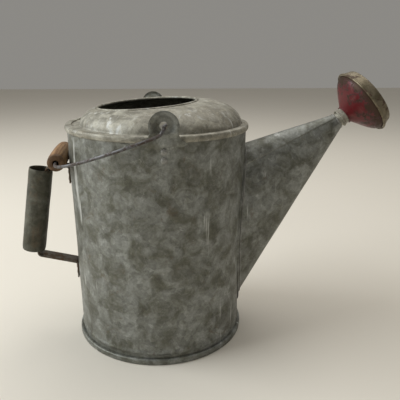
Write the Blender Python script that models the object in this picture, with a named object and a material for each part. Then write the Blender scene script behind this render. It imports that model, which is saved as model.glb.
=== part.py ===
"""Galvanised watering can with a swinging bail, a fixed rear grip and a pull-off rose.

Metres, +Z up, spout towards +X. The can is modelled about its own body axis, under the
empty watering_can, which is then moved so that the middle of the whole can is at X = Y = 0.
The foot rests on Z = 0.
"""

import math

import bmesh
import bpy
from mathutils import Matrix, Vector

# ---------------------------------------------------------------- driving dimensions
SHEET = 0.0010            # thickness of the galvanised sheet
GAP = 0.0003              # clearance between pieces that touch

BODY_RADIUS_TOP = 0.1055  # outside of the wall at its top edge
BODY_RADIUS_FOOT = 0.1012  # outside of the wall at its bottom edge
BODY_HEIGHT = 0.2655      # foot to the top of the rim hoop
FOOT_STAND = 0.0038       # the foot ring outside the wall at its foot
FOOT_RADIUS = BODY_RADIUS_FOOT + FOOT_STAND
FOOT_HEIGHT = 0.0070      # height of the foot ring
FOOT_LIP = 0.0070         # width of the flat ring that the can stands on
BASE_RECESS = 0.0060      # underside of the base plate above the foot
BASE_CORNER = 0.0020      # corner between the base plate and its turned-down edge

HOOP_HEIGHT = 0.0070      # rim hoop, top to bottom
HOOP_STAND = 0.0027       # how far the hoop stands out from the wall
HOOP_LIP = 0.0050         # width of the hoop's lip over the breast's edge
HOOP_EDGE = 0.0006        # thickness of the hoop at its top and bottom edges

BREAST_LEDGE = 0.0100     # width of the ledge between the wall and the breast
BREAST_FOOT_RADIUS = BODY_RADIUS_TOP - BREAST_LEDGE
BREAST_FOOT_SHIFT = 0.0045    # that circle's centre, towards the spout
MOUTH_RADIUS = 0.0570     # clear radius of the filling mouth
MOUTH_SHIFT = -0.0118     # the mouth's centre, towards the handle
MOUTH_RISE = 0.0213       # height of the mouth's centre over the rim hoop
MOUTH_TILT = 4.3          # degrees, high side towards the spout
MOUTH_BEAD_RADIUS = 0.0015    # rolled bead around the mouth

SPOUT_TIP_REACH = 0.1185  # tip centre, out from the wall's top radius
SPOUT_TIP_RISE = -0.0027  # tip centre, over the top of the rim hoop
SPOUT_ANGLE = 38.3        # degrees, the spout's axis over the horizontal
NOZZLE_RADIUS = 0.0088    # outside of the tube that the rose slips on
NOZZLE_SLIP = 0.0001      # clearance of that tube in the cone
SPOUT_TIP_RADIUS = NOZZLE_RADIUS + SHEET + NOZZLE_SLIP
SPOUT_FLARE_DEEP = 21.5   # degrees, half angle of the cone in the can's mid-plane
SPOUT_FLARE_WIDE = 10.5   # degrees, half angle of the cone across the can
SPOUT_FLANGE = 0.0050     # width of the flange that is soldered to the wall

NOZZLE_INSIDE = 0.0120    # length of that tube inside the cone
NOZZLE_OUTSIDE = 0.0190   # length of that tube beyond the cone's tip

ROSE_STANDOFF = 0.0050    # cone's tip to the mouth of the rose's socket
ROSE_GRIP = 0.0140        # length of nozzle that the socket takes
ROSE_SLIP = 0.0003        # radial clearance between nozzle and socket
ROSE_NECK_START = 0.0070  # socket's mouth to the neck of the bell
ROSE_BELL_RADIUS = 0.0402  # outside of the bell at its widest
ROSE_BELL_DEPTH = 0.0340  # socket's mouth to the edge of the bell
ROSE_SKIRT = 0.0135       # depth of the face cap's skirt
ROSE_FACE_RADIUS = 0.0385  # outside of the cap where its face begins
ROSE_FACE_DOME = 0.0055   # rise of the domed face
ROSE_SHEET = 0.0008       # thickness of the rose's bell and cap
ROSE_LAP = 0.0012         # the cap's skirt starts this far below the bell's edge
ROSE_SKIRT_STRAIGHT = 0.0040  # straight part of the skirt, before it draws in
ROSE_CORNER = 0.0030      # corner radius between skirt and face
ROSE_SWELL = 0.62         # share of the bell's flare that comes early, by the neck
ROSE_TUCK = 0.25          # how much the flare is held back beside the neck
ROSE_PACE = 1.15          # how the bell's rows crowd towards the neck
CRIMP_HALF = 0.0017       # half height of the crimped band around the cap
CRIMP_STAND = 0.0014      # how far the band stands out
ROSE_HOLE_RADIUS = 0.0010  # a spray hole
ROSE_HOLE_RINGS = 4       # rings of spray holes around the middle one
ROSE_HOLE_PITCH = 0.0078  # from one ring of spray holes to the next

STRAINER_HOLE_RADIUS = 0.0035  # a hole in the wall behind the spout
STRAINER_ROWS = 7
STRAINER_COLUMNS = 5
STRAINER_PITCH = 0.0125   # between neighbouring strainer holes

EAR_SHEET = 0.0014        # thickness of the ears
EAR_EYE_RADIUS = 0.0152   # outside of the round eye
EAR_EYE_RISE = 0.0110     # centre of the eye over the top of the rim hoop
EAR_HOLE_RADIUS = 0.0042  # hole for the bail
EAR_DISH = 0.0042         # how far the eye's rim stands out from its floor
EAR_WING_HALF = 0.0222    # half width of the ear under the hoop
EAR_TONGUE_HALF = 0.0070  # half width of the riveted tongue
EAR_TONGUE_DROP = 0.0295  # tongue's end below the top of the rim hoop

BAIL_WIRE_RADIUS = 0.0017
BAIL_STAND = 0.0045       # wire's middle outside the eye's rim
BAIL_PLAY = 0.0018        # the wire hangs this far under the hole's middle
BAIL_DIP = 0.0050         # how far the wire drops as it passes the eye's rim
BAIL_HOOK = 0.0043        # reach of the turned end behind the ear
BAIL_BEND = 0.0028        # bend radius of the turned end
BAIL_HOOK_ROOM = 0.0010   # turned end to the hoop's side of the ear
BAIL_STRAIGHT = 0.0030    # straight wire beyond each end of the grip
BAIL_CORNER_RADIUS = 0.0050
# the bend outside the ear: corner radii short of the full width, share of the arm, share of the dip
BAIL_CORNER = ((0.7, 0.0, 0.10), (0.2, 0.020, 0.50), (0.0, 0.065, 1.0))

GRIP_RADIUS = 0.0105      # turned wooden grip
GRIP_LENGTH = 0.0860
GRIP_BORE_RADIUS = 0.0032
GRIP_TAPER = 0.0012       # how much thinner the grip is at its ends
GRIP_EDGE = 0.0010        # rounding of its end edges
GRIP_GROOVE = 0.0008      # depth of the groove near each end
GRIP_REST_GAP = 0.0005    # grip to the wall and to the handle's arm, bail laid back

STRAP_WIDTH = 0.0200      # flat strap of the rear handle
STRAP_SHEET = 0.0018
STRAP_TOP_DROP = 0.0509   # upper arm below the top of the rim hoop
STRAP_SPAN = 0.1230       # upper arm's root to lower arm's root
STRAP_FOOT = 0.0200       # length of each foot down the wall
STRAP_BEND = 0.0040       # inner bend radius

TUBE_RADIUS = 0.0140      # rolled sheet grip around the strap
TUBE_SEAM = 0.0030        # open seam of that tube
TUBE_TOP_OUT = 0.0340     # tube's axis at its top, out from the wall's top radius
TUBE_BOTTOM_OUT = 0.0512  # and at its bottom
TUBE_TOP_DROP = 0.0028    # tube's top below the upper arm
TUBE_LENGTH = 0.1030
ARM_DROP = 0.0055         # the lower arm leaves this far below the tube's end

RIVET_SHANK_RADIUS = 0.0016
RIVET_HOLE_RADIUS = 0.0019
RIVET_HEAD_RADIUS = 0.0034
RIVET_HEAD_HEIGHT = 0.0013
EAR_RIVET_DROPS = (0.0155, 0.0245)   # below the top of the rim hoop
STRAP_RIVET_DROPS = (0.0075, 0.0155)  # below the root of each arm

# ---------------------------------------------------------------- derived places
WALL_BOTTOM = SHEET + GAP
WALL_TOP = BODY_HEIGHT - 2 * SHEET - 2 * GAP
LEDGE = WALL_TOP + GAP
HOOP_BOTTOM = BODY_HEIGHT - HOOP_HEIGHT
HOOP_RADIUS = BODY_RADIUS_TOP + HOOP_STAND
EAR_INNER = HOOP_RADIUS + GAP
EYE_Z = BODY_HEIGHT + EAR_EYE_RISE
PIVOT_Z = EYE_Z - BAIL_PLAY
BAIL_HALF_WIDTH = EAR_INNER + EAR_SHEET + EAR_DISH + BAIL_STAND
STRAP_TOP = BODY_HEIGHT - STRAP_TOP_DROP
STRAP_LOW = STRAP_TOP - STRAP_SPAN
SPOUT_AXIS = Vector((math.cos(math.radians(SPOUT_ANGLE)), 0, math.sin(math.radians(SPOUT_ANGLE))))
SPOUT_TIP = Vector((BODY_RADIUS_TOP + SPOUT_TIP_REACH, 0, BODY_HEIGHT + SPOUT_TIP_RISE))

BODY_SEGMENTS = 64
SPOUT_SEGMENTS = 40
ROSE_SEGMENTS = 32


def wall_radius(z):
    """Outside radius of the slightly tapered wall at height z."""
    share = (z - WALL_BOTTOM) / (WALL_TOP - WALL_BOTTOM)
    return BODY_RADIUS_FOOT + (BODY_RADIUS_TOP - BODY_RADIUS_FOOT) * share


GRIP_Z = STRAP_TOP + STRAP_SHEET / 2 + GRIP_RADIUS + GRIP_REST_GAP
GRIP_X = -(wall_radius(GRIP_Z) + GRIP_RADIUS + GRIP_REST_GAP)

# ---------------------------------------------------------------- shared helpers


def clear_scene():
    for item in list(bpy.data.objects):
        bpy.data.objects.remove(item, do_unlink=True)


def make_material(name, colour, roughness, metallic):
    material = bpy.data.materials.new(name)
    material.use_nodes = True
    shader = material.node_tree.nodes["Principled BSDF"]
    shader.inputs["Base Color"].default_value = (*colour, 1.0)
    shader.inputs["Roughness"].default_value = roughness
    shader.inputs["Metallic"].default_value = metallic
    return material


def add_object(name, mesh_data, material, parent, place=None, smooth_angle=35.0):
    """A named object from a bmesh, smooth shaded, at place in its parent's frame."""
    bmesh.ops.recalc_face_normals(mesh_data, faces=mesh_data.faces)
    mesh = bpy.data.meshes.new(name)
    mesh_data.to_mesh(mesh)
    mesh_data.free()
    mesh.shade_smooth()
    mesh.set_sharp_from_angle(angle=math.radians(smooth_angle))
    item = bpy.data.objects.new(name, mesh)
    bpy.context.collection.objects.link(item)
    item.parent = parent
    if place is not None:
        item.matrix_local = place
    if material is not None:
        mesh.materials.append(material)
    return item


def add_empty(name, parent, place=None):
    empty = bpy.data.objects.new(name, None)
    empty.empty_display_size = 0.02
    bpy.context.collection.objects.link(empty)
    empty.parent = parent
    if place is not None:
        empty.matrix_local = place
    return empty


def loft(rings, closed):
    """A skin over rings of points, joined end to start when closed, else capped."""
    mesh_data = bmesh.new()
    rows = [[mesh_data.verts.new(point) for point in ring] for ring in rings]
    count = len(rows[0])
    last = len(rows) if closed else len(rows) - 1
    for i in range(last):
        row, after = rows[i], rows[(i + 1) % len(rows)]
        for j in range(count):
            k = (j + 1) % count
            mesh_data.faces.new((row[j], row[k], after[k], after[j]))
    if not closed:
        mesh_data.faces.new(rows[0])
        mesh_data.faces.new(rows[-1])
    return mesh_data


def turned_ring(section, segments):
    """A closed section of (radius, height) points, turned about Z."""
    rings = []
    for i in range(segments):
        turn = 2 * math.pi * i / segments
        rings.append([(r * math.cos(turn), r * math.sin(turn), z) for r, z in section])
    return loft(rings, closed=True)


def turned_solid(profile, segments):
    """A profile of (radius, height) points that starts and ends on the axis, turned about Z."""
    mesh_data = bmesh.new()
    first = mesh_data.verts.new((0, 0, profile[0][1]))
    final = mesh_data.verts.new((0, 0, profile[-1][1]))
    rows = []
    for r, z in profile[1:-1]:
        turns = [2 * math.pi * i / segments for i in range(segments)]
        rows.append([mesh_data.verts.new((r * math.cos(t), r * math.sin(t), z)) for t in turns])
    for j in range(segments):
        k = (j + 1) % segments
        mesh_data.faces.new((first, rows[0][j], rows[0][k]))
        mesh_data.faces.new((final, rows[-1][k], rows[-1][j]))
        for row, after in zip(rows, rows[1:]):
            mesh_data.faces.new((row[j], after[j], after[k], row[k]))
    return mesh_data


def offset_line(points, distance):
    """A flat polyline moved sideways, to its left for a positive distance."""
    moved = []
    for i, point in enumerate(points):
        before = points[max(i - 1, 0)]
        after = points[min(i + 1, len(points) - 1)]
        normals = []
        for start, end in ((before, point), (point, after)):
            step = Vector((end[0] - start[0], end[1] - start[1]))
            if step.length > 0:
                normals.append(Vector((-step.y, step.x)).normalized())
        middle = sum(normals, Vector((0, 0))).normalized()
        stretch = distance / middle.dot(normals[0])
        moved.append((point[0] + middle.x * stretch, point[1] + middle.y * stretch))
    return moved


def sheet_section(points, thickness):
    """A closed section of sheet: the line and its copy on the left, thickness away."""
    return points + offset_line(points, thickness)[::-1]


def rounded_line(corners, radii, steps=5):
    """A flat polyline through corners, with each inner corner turned on its radius."""
    line = [corners[0]]
    for before, corner, after, radius in zip(corners, corners[1:], corners[2:], radii):
        corner = Vector(corner)
        back = (Vector(before) - corner).normalized()
        ahead = (Vector(after) - corner).normalized()
        half = math.acos(max(-1.0, min(1.0, back.dot(ahead)))) / 2
        centre = corner + (back + ahead).normalized() * radius / math.sin(half)
        start = corner + back * radius / math.tan(half) - centre
        end = corner + ahead * radius / math.tan(half) - centre
        sweep = start.angle_signed(end)
        for i in range(steps + 1):
            turned = start.copy()
            turned.rotate(Matrix.Rotation(-sweep * i / steps, 2))
            line.append(tuple(centre + turned))
    line.append(corners[-1])
    return line


def smooth_route(points, steps):
    """Points along a smooth curve through the given ones."""
    route = []
    padded = [2 * points[0] - points[1], *points, 2 * points[-1] - points[-2]]
    for p0, p1, p2, p3 in zip(padded, padded[1:], padded[2:], padded[3:]):
        for i in range(steps):
            t = i / steps
            drift = (p2 - p0) * t + (2 * p0 - 5 * p1 + 4 * p2 - p3) * t**2
            route.append(p1 + 0.5 * (drift + (3 * p1 - p0 - 3 * p2 + p3) * t**3))
    route.append(points[-1])
    return route


def round_rod(route, radius, sides):
    """A rod of round section along a route, with flat ends."""
    rings = []
    across = None
    for i, point in enumerate(route):
        ahead = (route[min(i + 1, len(route) - 1)] - route[max(i - 1, 0)]).normalized()
        if across is None:
            across = ahead.orthogonal().normalized()
        across = (across - ahead * across.dot(ahead)).normalized()
        beside = ahead.cross(across)
        turns = [2 * math.pi * j / sides for j in range(sides)]
        rings.append([point + (across * math.cos(t) + beside * math.sin(t)) * radius for t in turns])
    return loft(rings, closed=False)


def cut(target, cutter_data, name, place=None):
    """Cuts target with a hidden wire cutter that shares its parent and place."""
    cutter = add_object(name, cutter_data, None, target.parent, place)
    cutter.hide_render = True
    cutter.display_type = "WIRE"
    modifier = target.modifiers.new(name, "BOOLEAN")
    modifier.operation = "DIFFERENCE"
    modifier.solver = "EXACT"
    modifier.object = cutter


def add_drill(mesh_data, place, radius, length, sides):
    """Adds a drill of round section along place's Z axis, half of it on each side."""
    bmesh.ops.create_cone(
        mesh_data, cap_ends=True, segments=sides, radius1=radius, radius2=radius,
        depth=length, matrix=place,
    )


def outward(turn, radius, z):
    """A frame at radius, turn and z on the body, whose Z axis points out of the wall."""
    frame = Matrix.Rotation(turn, 4, "Z") @ Matrix.Translation((radius, 0, z))
    return frame @ Matrix.Rotation(math.pi / 2, 4, "Y")


# ---------------------------------------------------------------- body


def rivet_sites():
    """Name, turn about Z, height, and thickness held, for every rivet."""
    sites = []
    for side, turn in (("near", -math.pi / 2), ("far", math.pi / 2)):
        for i, drop in enumerate(EAR_RIVET_DROPS):
            sites.append((f"ear_rivet_{side}_{i + 1}", turn, BODY_HEIGHT - drop, EAR_SHEET))
    for end, root in (("upper", STRAP_TOP), ("lower", STRAP_LOW)):
        for i, drop in enumerate(STRAP_RIVET_DROPS):
            sites.append((f"handle_rivet_{end}_{i + 1}", math.pi, root - drop, STRAP_SHEET))
    return sites


def build_wall(parent, material):
    section = [
        (BODY_RADIUS_FOOT, WALL_BOTTOM),
        (BODY_RADIUS_TOP, WALL_TOP),
        (BODY_RADIUS_TOP - SHEET, WALL_TOP),
        (BODY_RADIUS_FOOT - SHEET, WALL_BOTTOM),
    ]
    wall = add_object("body_wall", turned_ring(section, BODY_SEGMENTS), material, parent)
    drills = bmesh.new()
    for _, turn, z, _ in rivet_sites():
        add_drill(drills, outward(turn, wall_radius(z), z), RIVET_HOLE_RADIUS, 4 * SHEET, 8)
    middle = strainer_middle()
    for row in range(STRAINER_ROWS):
        z = middle + (row - (STRAINER_ROWS - 1) / 2) * STRAINER_PITCH
        columns = STRAINER_COLUMNS - row % 2
        for column in range(columns):
            along = (column - (columns - 1) / 2) * STRAINER_PITCH
            site = outward(along / wall_radius(z), wall_radius(z), z)
            add_drill(drills, site, STRAINER_HOLE_RADIUS, 6 * SHEET, 8)
    cut(wall, drills, "wall_drills")


def build_base(parent, material):
    outer = BODY_RADIUS_FOOT - SHEET - GAP
    top = BASE_RECESS + SHEET
    profile = [
        (0, top),
        (outer - BASE_CORNER, top),
        (outer, top - 0.6 * BASE_CORNER),
        (outer, WALL_BOTTOM),
        (outer - SHEET, WALL_BOTTOM),
        (outer - SHEET, BASE_RECESS - 0.4 * BASE_CORNER),
        (outer - 1.2 * BASE_CORNER, BASE_RECESS),
        (0, BASE_RECESS),
    ]
    add_object("base_plate", turned_solid(profile, BODY_SEGMENTS), material, parent)


def build_foot(parent, material):
    inside = wall_radius(FOOT_HEIGHT) + GAP
    round_off = 0.35 * (FOOT_RADIUS - inside)
    section = [
        (FOOT_RADIUS - FOOT_LIP, 0),
        (FOOT_RADIUS - round_off, 0),
        (FOOT_RADIUS, round_off),
        (FOOT_RADIUS, 0.6 * FOOT_HEIGHT),
        (inside + round_off, FOOT_HEIGHT),
        (inside, FOOT_HEIGHT),
        (inside, SHEET),
        (FOOT_RADIUS - FOOT_LIP, SHEET),
    ]
    add_object("foot_ring", turned_ring(section, BODY_SEGMENTS), material, parent)


def build_hoop(parent, material):
    inside = BODY_RADIUS_TOP + GAP
    lip = LEDGE + SHEET + GAP
    middle = (BODY_HEIGHT + HOOP_BOTTOM) / 2
    half = HOOP_HEIGHT / 2
    rounded = []
    for i in range(5):
        turn = math.pi * (i / 4 - 0.5)
        stand = (HOOP_RADIUS - inside) * math.cos(turn)
        rounded.append((inside + max(stand, HOOP_EDGE), middle + half * math.sin(turn)))
    section = [(inside, HOOP_BOTTOM), *rounded]
    section += [(inside - HOOP_LIP, BODY_HEIGHT), (inside - HOOP_LIP, lip), (inside, lip)]
    add_object("rim_hoop", turned_ring(section, BODY_SEGMENTS), material, parent)


# ---------------------------------------------------------------- breast and mouth


def mouth_frame():
    tilt = Matrix.Rotation(-math.radians(MOUTH_TILT), 4, "Y")
    return Matrix.Translation((MOUTH_SHIFT, 0, BODY_HEIGHT + MOUTH_RISE)) @ tilt


def breast_loop(turn, edge, drop):
    """The breast's skin at one turn: out on its ledge, up its dome, to the mouth's edge.

    drop moves the skin down and inwards, for the inner side of the sheet.
    """
    direction = Vector((math.cos(turn), math.sin(turn), 0))
    ledge_z = LEDGE + SHEET - drop
    rim = direction * edge + Vector((0, 0, ledge_z))
    foot = Vector((BREAST_FOOT_SHIFT, 0, 0)) + direction * (BREAST_FOOT_RADIUS - drop)
    foot.z = ledge_z
    bead = MOUTH_RADIUS + 2 * MOUTH_BEAD_RADIUS + GAP
    top = mouth_frame() @ (direction * bead + Vector((0, 0, -drop)))
    dome = []
    for i in range(1, 6):
        quarter = math.pi / 2 * i / 5
        share = Vector((1 - math.cos(quarter), 1 - math.cos(quarter), math.sin(quarter)))
        dome.append(foot + Vector(a * b for a, b in zip(top - foot, share)))
    return [rim, foot, *dome]


def build_breast(parent, material):
    rings = []
    for i in range(BODY_SEGMENTS):
        turn = 2 * math.pi * i / BODY_SEGMENTS
        skin = breast_loop(turn, BODY_RADIUS_TOP, 0)
        rings.append(skin + breast_loop(turn, BODY_RADIUS_TOP, SHEET)[::-1])
    add_object("breast", loft(rings, closed=True), material, parent)


def build_mouth_bead(parent, material):
    middle = MOUTH_RADIUS + MOUTH_BEAD_RADIUS
    turns = [2 * math.pi * i / 6 for i in range(6)]
    section = [
        (middle + MOUTH_BEAD_RADIUS * math.cos(t), MOUTH_BEAD_RADIUS * math.sin(t)) for t in turns
    ]
    add_object("mouth_bead", turned_ring(section, BODY_SEGMENTS), material, parent, mouth_frame())


# ---------------------------------------------------------------- spout


def spout_half_axes(back, inset):
    """Half depth and half width of the spout's section, back from the tip."""
    deep = SPOUT_TIP_RADIUS + back * math.tan(math.radians(SPOUT_FLARE_DEEP)) - inset
    wide = SPOUT_TIP_RADIUS + back * math.tan(math.radians(SPOUT_FLARE_WIDE)) - inset
    return deep, wide


def spout_point(turn, back, inset):
    """A point on the spout's skin, or inset below it; turn 0 is the top."""
    deep, wide = spout_half_axes(back, inset)
    across = Vector((0, 1, 0))
    up = SPOUT_AXIS.cross(across)
    place = up * deep * math.cos(turn) + across * wide * math.sin(turn)
    return SPOUT_TIP - SPOUT_AXIS * back + place


def spout_root(turn, inset, lift):
    """Where one line of the spout's skin meets the wall's outside, moved out by lift."""
    near, far = 0.0, 0.6
    for _ in range(60):
        back = (near + far) / 2
        point = spout_point(turn, back, inset)
        if point.x > 0 and math.hypot(point.x, point.y) > wall_radius(point.z) + lift:
            near = back
        else:
            far = back
    return (near + far) / 2


def on_wall(turn, z, lift):
    radius = wall_radius(z) + lift
    return Vector((radius * math.cos(turn), radius * math.sin(turn), z))


def strainer_middle():
    """Height of the middle of the spout's root."""
    heights = [spout_point(t, spout_root(t, 0, GAP), 0).z for t in (0, math.pi)]
    return sum(heights) / 2


def build_spout(parent, material):
    lift = GAP + SHEET
    turns = [2 * math.pi * i / SPOUT_SEGMENTS for i in range(SPOUT_SEGMENTS)]
    outer = [spout_point(t, spout_root(t, 0, lift), 0) for t in turns]
    flat = [(math.atan2(p.y, p.x) * BODY_RADIUS_TOP, p.z) for p in outer]
    spread = offset_line(flat[-1:] + flat + flat[:1], SPOUT_FLANGE)[1:-1]
    rings = []
    for turn, point, (along, z) in zip(turns, outer, spread):
        inner = spout_point(turn, spout_root(turn, SHEET, GAP), SHEET)
        skin = [spout_point(turn, 0, 0)]
        hidden = [spout_point(turn, 0, SHEET)]
        for share in (0.33, 0.67):
            skin.append(skin[0].lerp(point, share))
            hidden.append(hidden[0].lerp(inner, share))
        flange = [on_wall(along / BODY_RADIUS_TOP, z, lift), on_wall(along / BODY_RADIUS_TOP, z, GAP)]
        rings.append([*skin, point, *flange, inner, *hidden[::-1]])
    add_object("spout_cone", loft(rings, closed=True), material, parent)


def spout_frame(ahead):
    """A frame whose Z axis runs out along the spout, ahead of its tip."""
    turn = Matrix.Rotation(math.pi / 2 - math.radians(SPOUT_ANGLE), 4, "Y")
    return Matrix.Translation(SPOUT_TIP + SPOUT_AXIS * ahead) @ turn


def build_nozzle(parent, material):
    section = [
        (NOZZLE_RADIUS, -NOZZLE_INSIDE),
        (NOZZLE_RADIUS, NOZZLE_OUTSIDE),
        (NOZZLE_RADIUS - SHEET, NOZZLE_OUTSIDE),
        (NOZZLE_RADIUS - SHEET, -NOZZLE_INSIDE),
    ]
    data = turned_ring(section, ROSE_SEGMENTS)
    add_object("spout_nozzle", data, material, parent, spout_frame(0))


# ---------------------------------------------------------------- rose


def build_rose_socket(parent, material):
    bore = NOZZLE_RADIUS + ROSE_SLIP
    outer = bore + SHEET
    stop = ROSE_GRIP + GAP
    section = [
        (outer + 1.3 * SHEET, 0),
        (outer + 0.4 * SHEET, 1.2 * SHEET),
        (outer, 2.4 * SHEET),
        (outer, stop + SHEET),
        (NOZZLE_RADIUS - SHEET, stop + SHEET),
        (NOZZLE_RADIUS - SHEET, stop),
        (bore, stop),
        (bore, 1.6 * SHEET),
        (bore + 0.9 * SHEET, 0),
    ]
    add_object("rose_socket", turned_ring(section, ROSE_SEGMENTS), material, parent)


def bell_line():
    """Outer line of the bell, from its neck over the flare to its edge."""
    neck = NOZZLE_RADIUS + ROSE_SLIP + 2 * SHEET + GAP
    start = ROSE_NECK_START + 2 * SHEET
    line = [(neck, ROSE_NECK_START), (neck, start)]
    for i in range(1, 8):
        share = i / 7
        early = math.sin(share * math.pi / 2)
        late = share**2 * (3 - 2 * share)
        swell = ROSE_SWELL * early + (1 - ROSE_SWELL) * late
        swell *= 1 - ROSE_TUCK * (1 - share) ** 2
        radius = neck + (ROSE_BELL_RADIUS - neck) * swell
        line.append((radius, start + (ROSE_BELL_DEPTH - start) * share**ROSE_PACE))
    return line


def build_rose_bell(parent, material):
    section = sheet_section(bell_line(), ROSE_SHEET)
    add_object("rose_bell", turned_ring(section, ROSE_SEGMENTS), material, parent)


def cap_line():
    """Outer line of the face cap, from the skirt's edge to the middle of the face."""
    skirt = ROSE_BELL_RADIUS + GAP + ROSE_SHEET
    start = ROSE_BELL_DEPTH - ROSE_LAP
    face = start + ROSE_SKIRT
    line = [(skirt, start), (skirt, start + ROSE_SKIRT_STRAIGHT)]
    for i in range(4):
        turn = math.pi / 2 * i / 3
        radius = ROSE_FACE_RADIUS - ROSE_CORNER * (1 - math.cos(turn))
        line.append((radius, face - ROSE_CORNER * (1 - math.sin(turn))))
    edge = ROSE_FACE_RADIUS - ROSE_CORNER
    for i in range(1, 6):
        radius = edge * (1 - i / 5)
        line.append((radius, face + ROSE_FACE_DOME * (1 - (radius / edge) ** 2)))
    return line


def build_rose_face(parent, material):
    line = cap_line()
    inner = offset_line(line, ROSE_SHEET)
    inner[-1] = (0, line[-1][1] - ROSE_SHEET)
    profile = line[::-1] + inner
    face = add_object("rose_face", turned_solid(profile, ROSE_SEGMENTS), material, parent)
    drills = bmesh.new()
    top = line[-1][1]
    for ring in range(ROSE_HOLE_RINGS + 1):
        count = max(1, 6 * ring)
        for i in range(count):
            turn = 2 * math.pi * (i + 0.25 * ring) / count
            out = ring * ROSE_HOLE_PITCH
            site = Matrix.Translation((out * math.cos(turn), out * math.sin(turn), top))
            add_drill(drills, site, ROSE_HOLE_RADIUS, 3 * ROSE_FACE_DOME, 6)
    cut(face, drills, "face_drills")


def build_rose_crimp(parent, material):
    inside = ROSE_BELL_RADIUS + 2 * GAP + ROSE_SHEET
    middle = ROSE_BELL_DEPTH
    edge = 0.3 * CRIMP_STAND
    section = [(inside, middle - CRIMP_HALF)]
    for i in range(5):
        turn = math.pi * (i / 4 - 0.5)
        stand = edge + (CRIMP_STAND - edge) * math.cos(turn)
        section.append((inside + stand, middle + CRIMP_HALF * math.sin(turn)))
    section.append((inside, middle + CRIMP_HALF))
    add_object("rose_crimp", turned_ring(section, ROSE_SEGMENTS), material, parent)


# ---------------------------------------------------------------- ears


def ear_half_width(z):
    """Half width of an ear at height z: tongue, wings under the hoop, then the eye."""
    marks = [
        (BODY_HEIGHT - EAR_TONGUE_DROP, 0.55 * EAR_TONGUE_HALF),
        (BODY_HEIGHT - EAR_TONGUE_DROP + 0.0025, 0.92 * EAR_TONGUE_HALF),
        (BODY_HEIGHT - EAR_TONGUE_DROP + 0.0060, EAR_TONGUE_HALF),
        (HOOP_BOTTOM - 0.0055, EAR_TONGUE_HALF + 0.0010),
        (HOOP_BOTTOM - 0.0030, EAR_TONGUE_HALF + 0.0060),
        (HOOP_BOTTOM - 0.0020, EAR_WING_HALF - 0.0010),
        (HOOP_BOTTOM + 0.0010, EAR_WING_HALF),
        (HOOP_BOTTOM + 0.0035, EAR_WING_HALF - 0.0040),
        (HOOP_BOTTOM + 0.0070, EAR_EYE_RADIUS + 0.0006),
        (EYE_Z - 0.0050, EAR_EYE_RADIUS - 0.0004),
    ]
    if z >= EYE_Z - 0.0050:
        return math.sqrt(max(EAR_EYE_RADIUS**2 - (z - EYE_Z) ** 2, 0.0012**2))
    for (low, wide), (high, narrow) in zip(marks, marks[1:]):
        if z <= high:
            return wide + (narrow - wide) * max(z - low, 0) / (high - low)
    return EAR_EYE_RADIUS


def ear_lift(along, z):
    """Inner side of an ear, as a radius: on the wall, over the hoop, dished at the eye."""
    start, end = HOOP_BOTTOM - 0.0050, HOOP_BOTTOM - 0.0008
    share = min(max((z - start) / (end - start), 0.0), 1.0)
    lift = wall_radius(min(z, WALL_TOP)) + GAP
    lift += (EAR_INNER - lift) * share
    away = math.hypot(along, z - EYE_Z) / EAR_EYE_RADIUS
    rise = min(max((away - 0.45) / 0.50, 0.0), 1.0)
    eye = min(max((z - HOOP_BOTTOM - HOOP_HEIGHT) / 0.0040, 0.0), 1.0)
    return lift + EAR_DISH * eye * rise * rise * (3 - 2 * rise)


def build_ear(name, turn, parent, material):
    columns = 9
    low = BODY_HEIGHT - EAR_TONGUE_DROP
    high = EYE_Z + EAR_EYE_RADIUS
    heights = [low + (HOOP_BOTTOM - low) * i / 9 for i in range(9)]
    heights += [HOOP_BOTTOM + (EYE_Z - HOOP_BOTTOM) * i / 6 for i in range(6)]
    heights += [EYE_Z + EAR_EYE_RADIUS * math.sin(math.pi / 2 * i / 6) for i in range(7)]
    heights[-1] = high
    rings = []
    for z in heights:
        half = ear_half_width(z)
        front, back = [], []
        for j in range(columns):
            along = half * math.sin(math.pi / 2 * (2 * j / (columns - 1) - 1))
            lift = ear_lift(along, z)
            angle = along / EAR_INNER
            for side, radius in ((back, lift), (front, lift + EAR_SHEET)):
                side.append((radius * math.cos(angle), radius * math.sin(angle), z))
        rings.append(front + back[::-1])
    place = Matrix.Rotation(turn, 4, "Z")
    ear = add_object(name, loft(rings, closed=False), material, parent, place)
    drills = bmesh.new()
    add_drill(drills, outward(0, EAR_INNER, EYE_Z), EAR_HOLE_RADIUS, 6 * EAR_SHEET, 14)
    for drop in EAR_RIVET_DROPS:
        z = BODY_HEIGHT - drop
        add_drill(drills, outward(0, wall_radius(z), z), RIVET_HOLE_RADIUS, 6 * EAR_SHEET, 8)
    cut(ear, drills, f"{name}_drills", place)


# ---------------------------------------------------------------- bail


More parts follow.
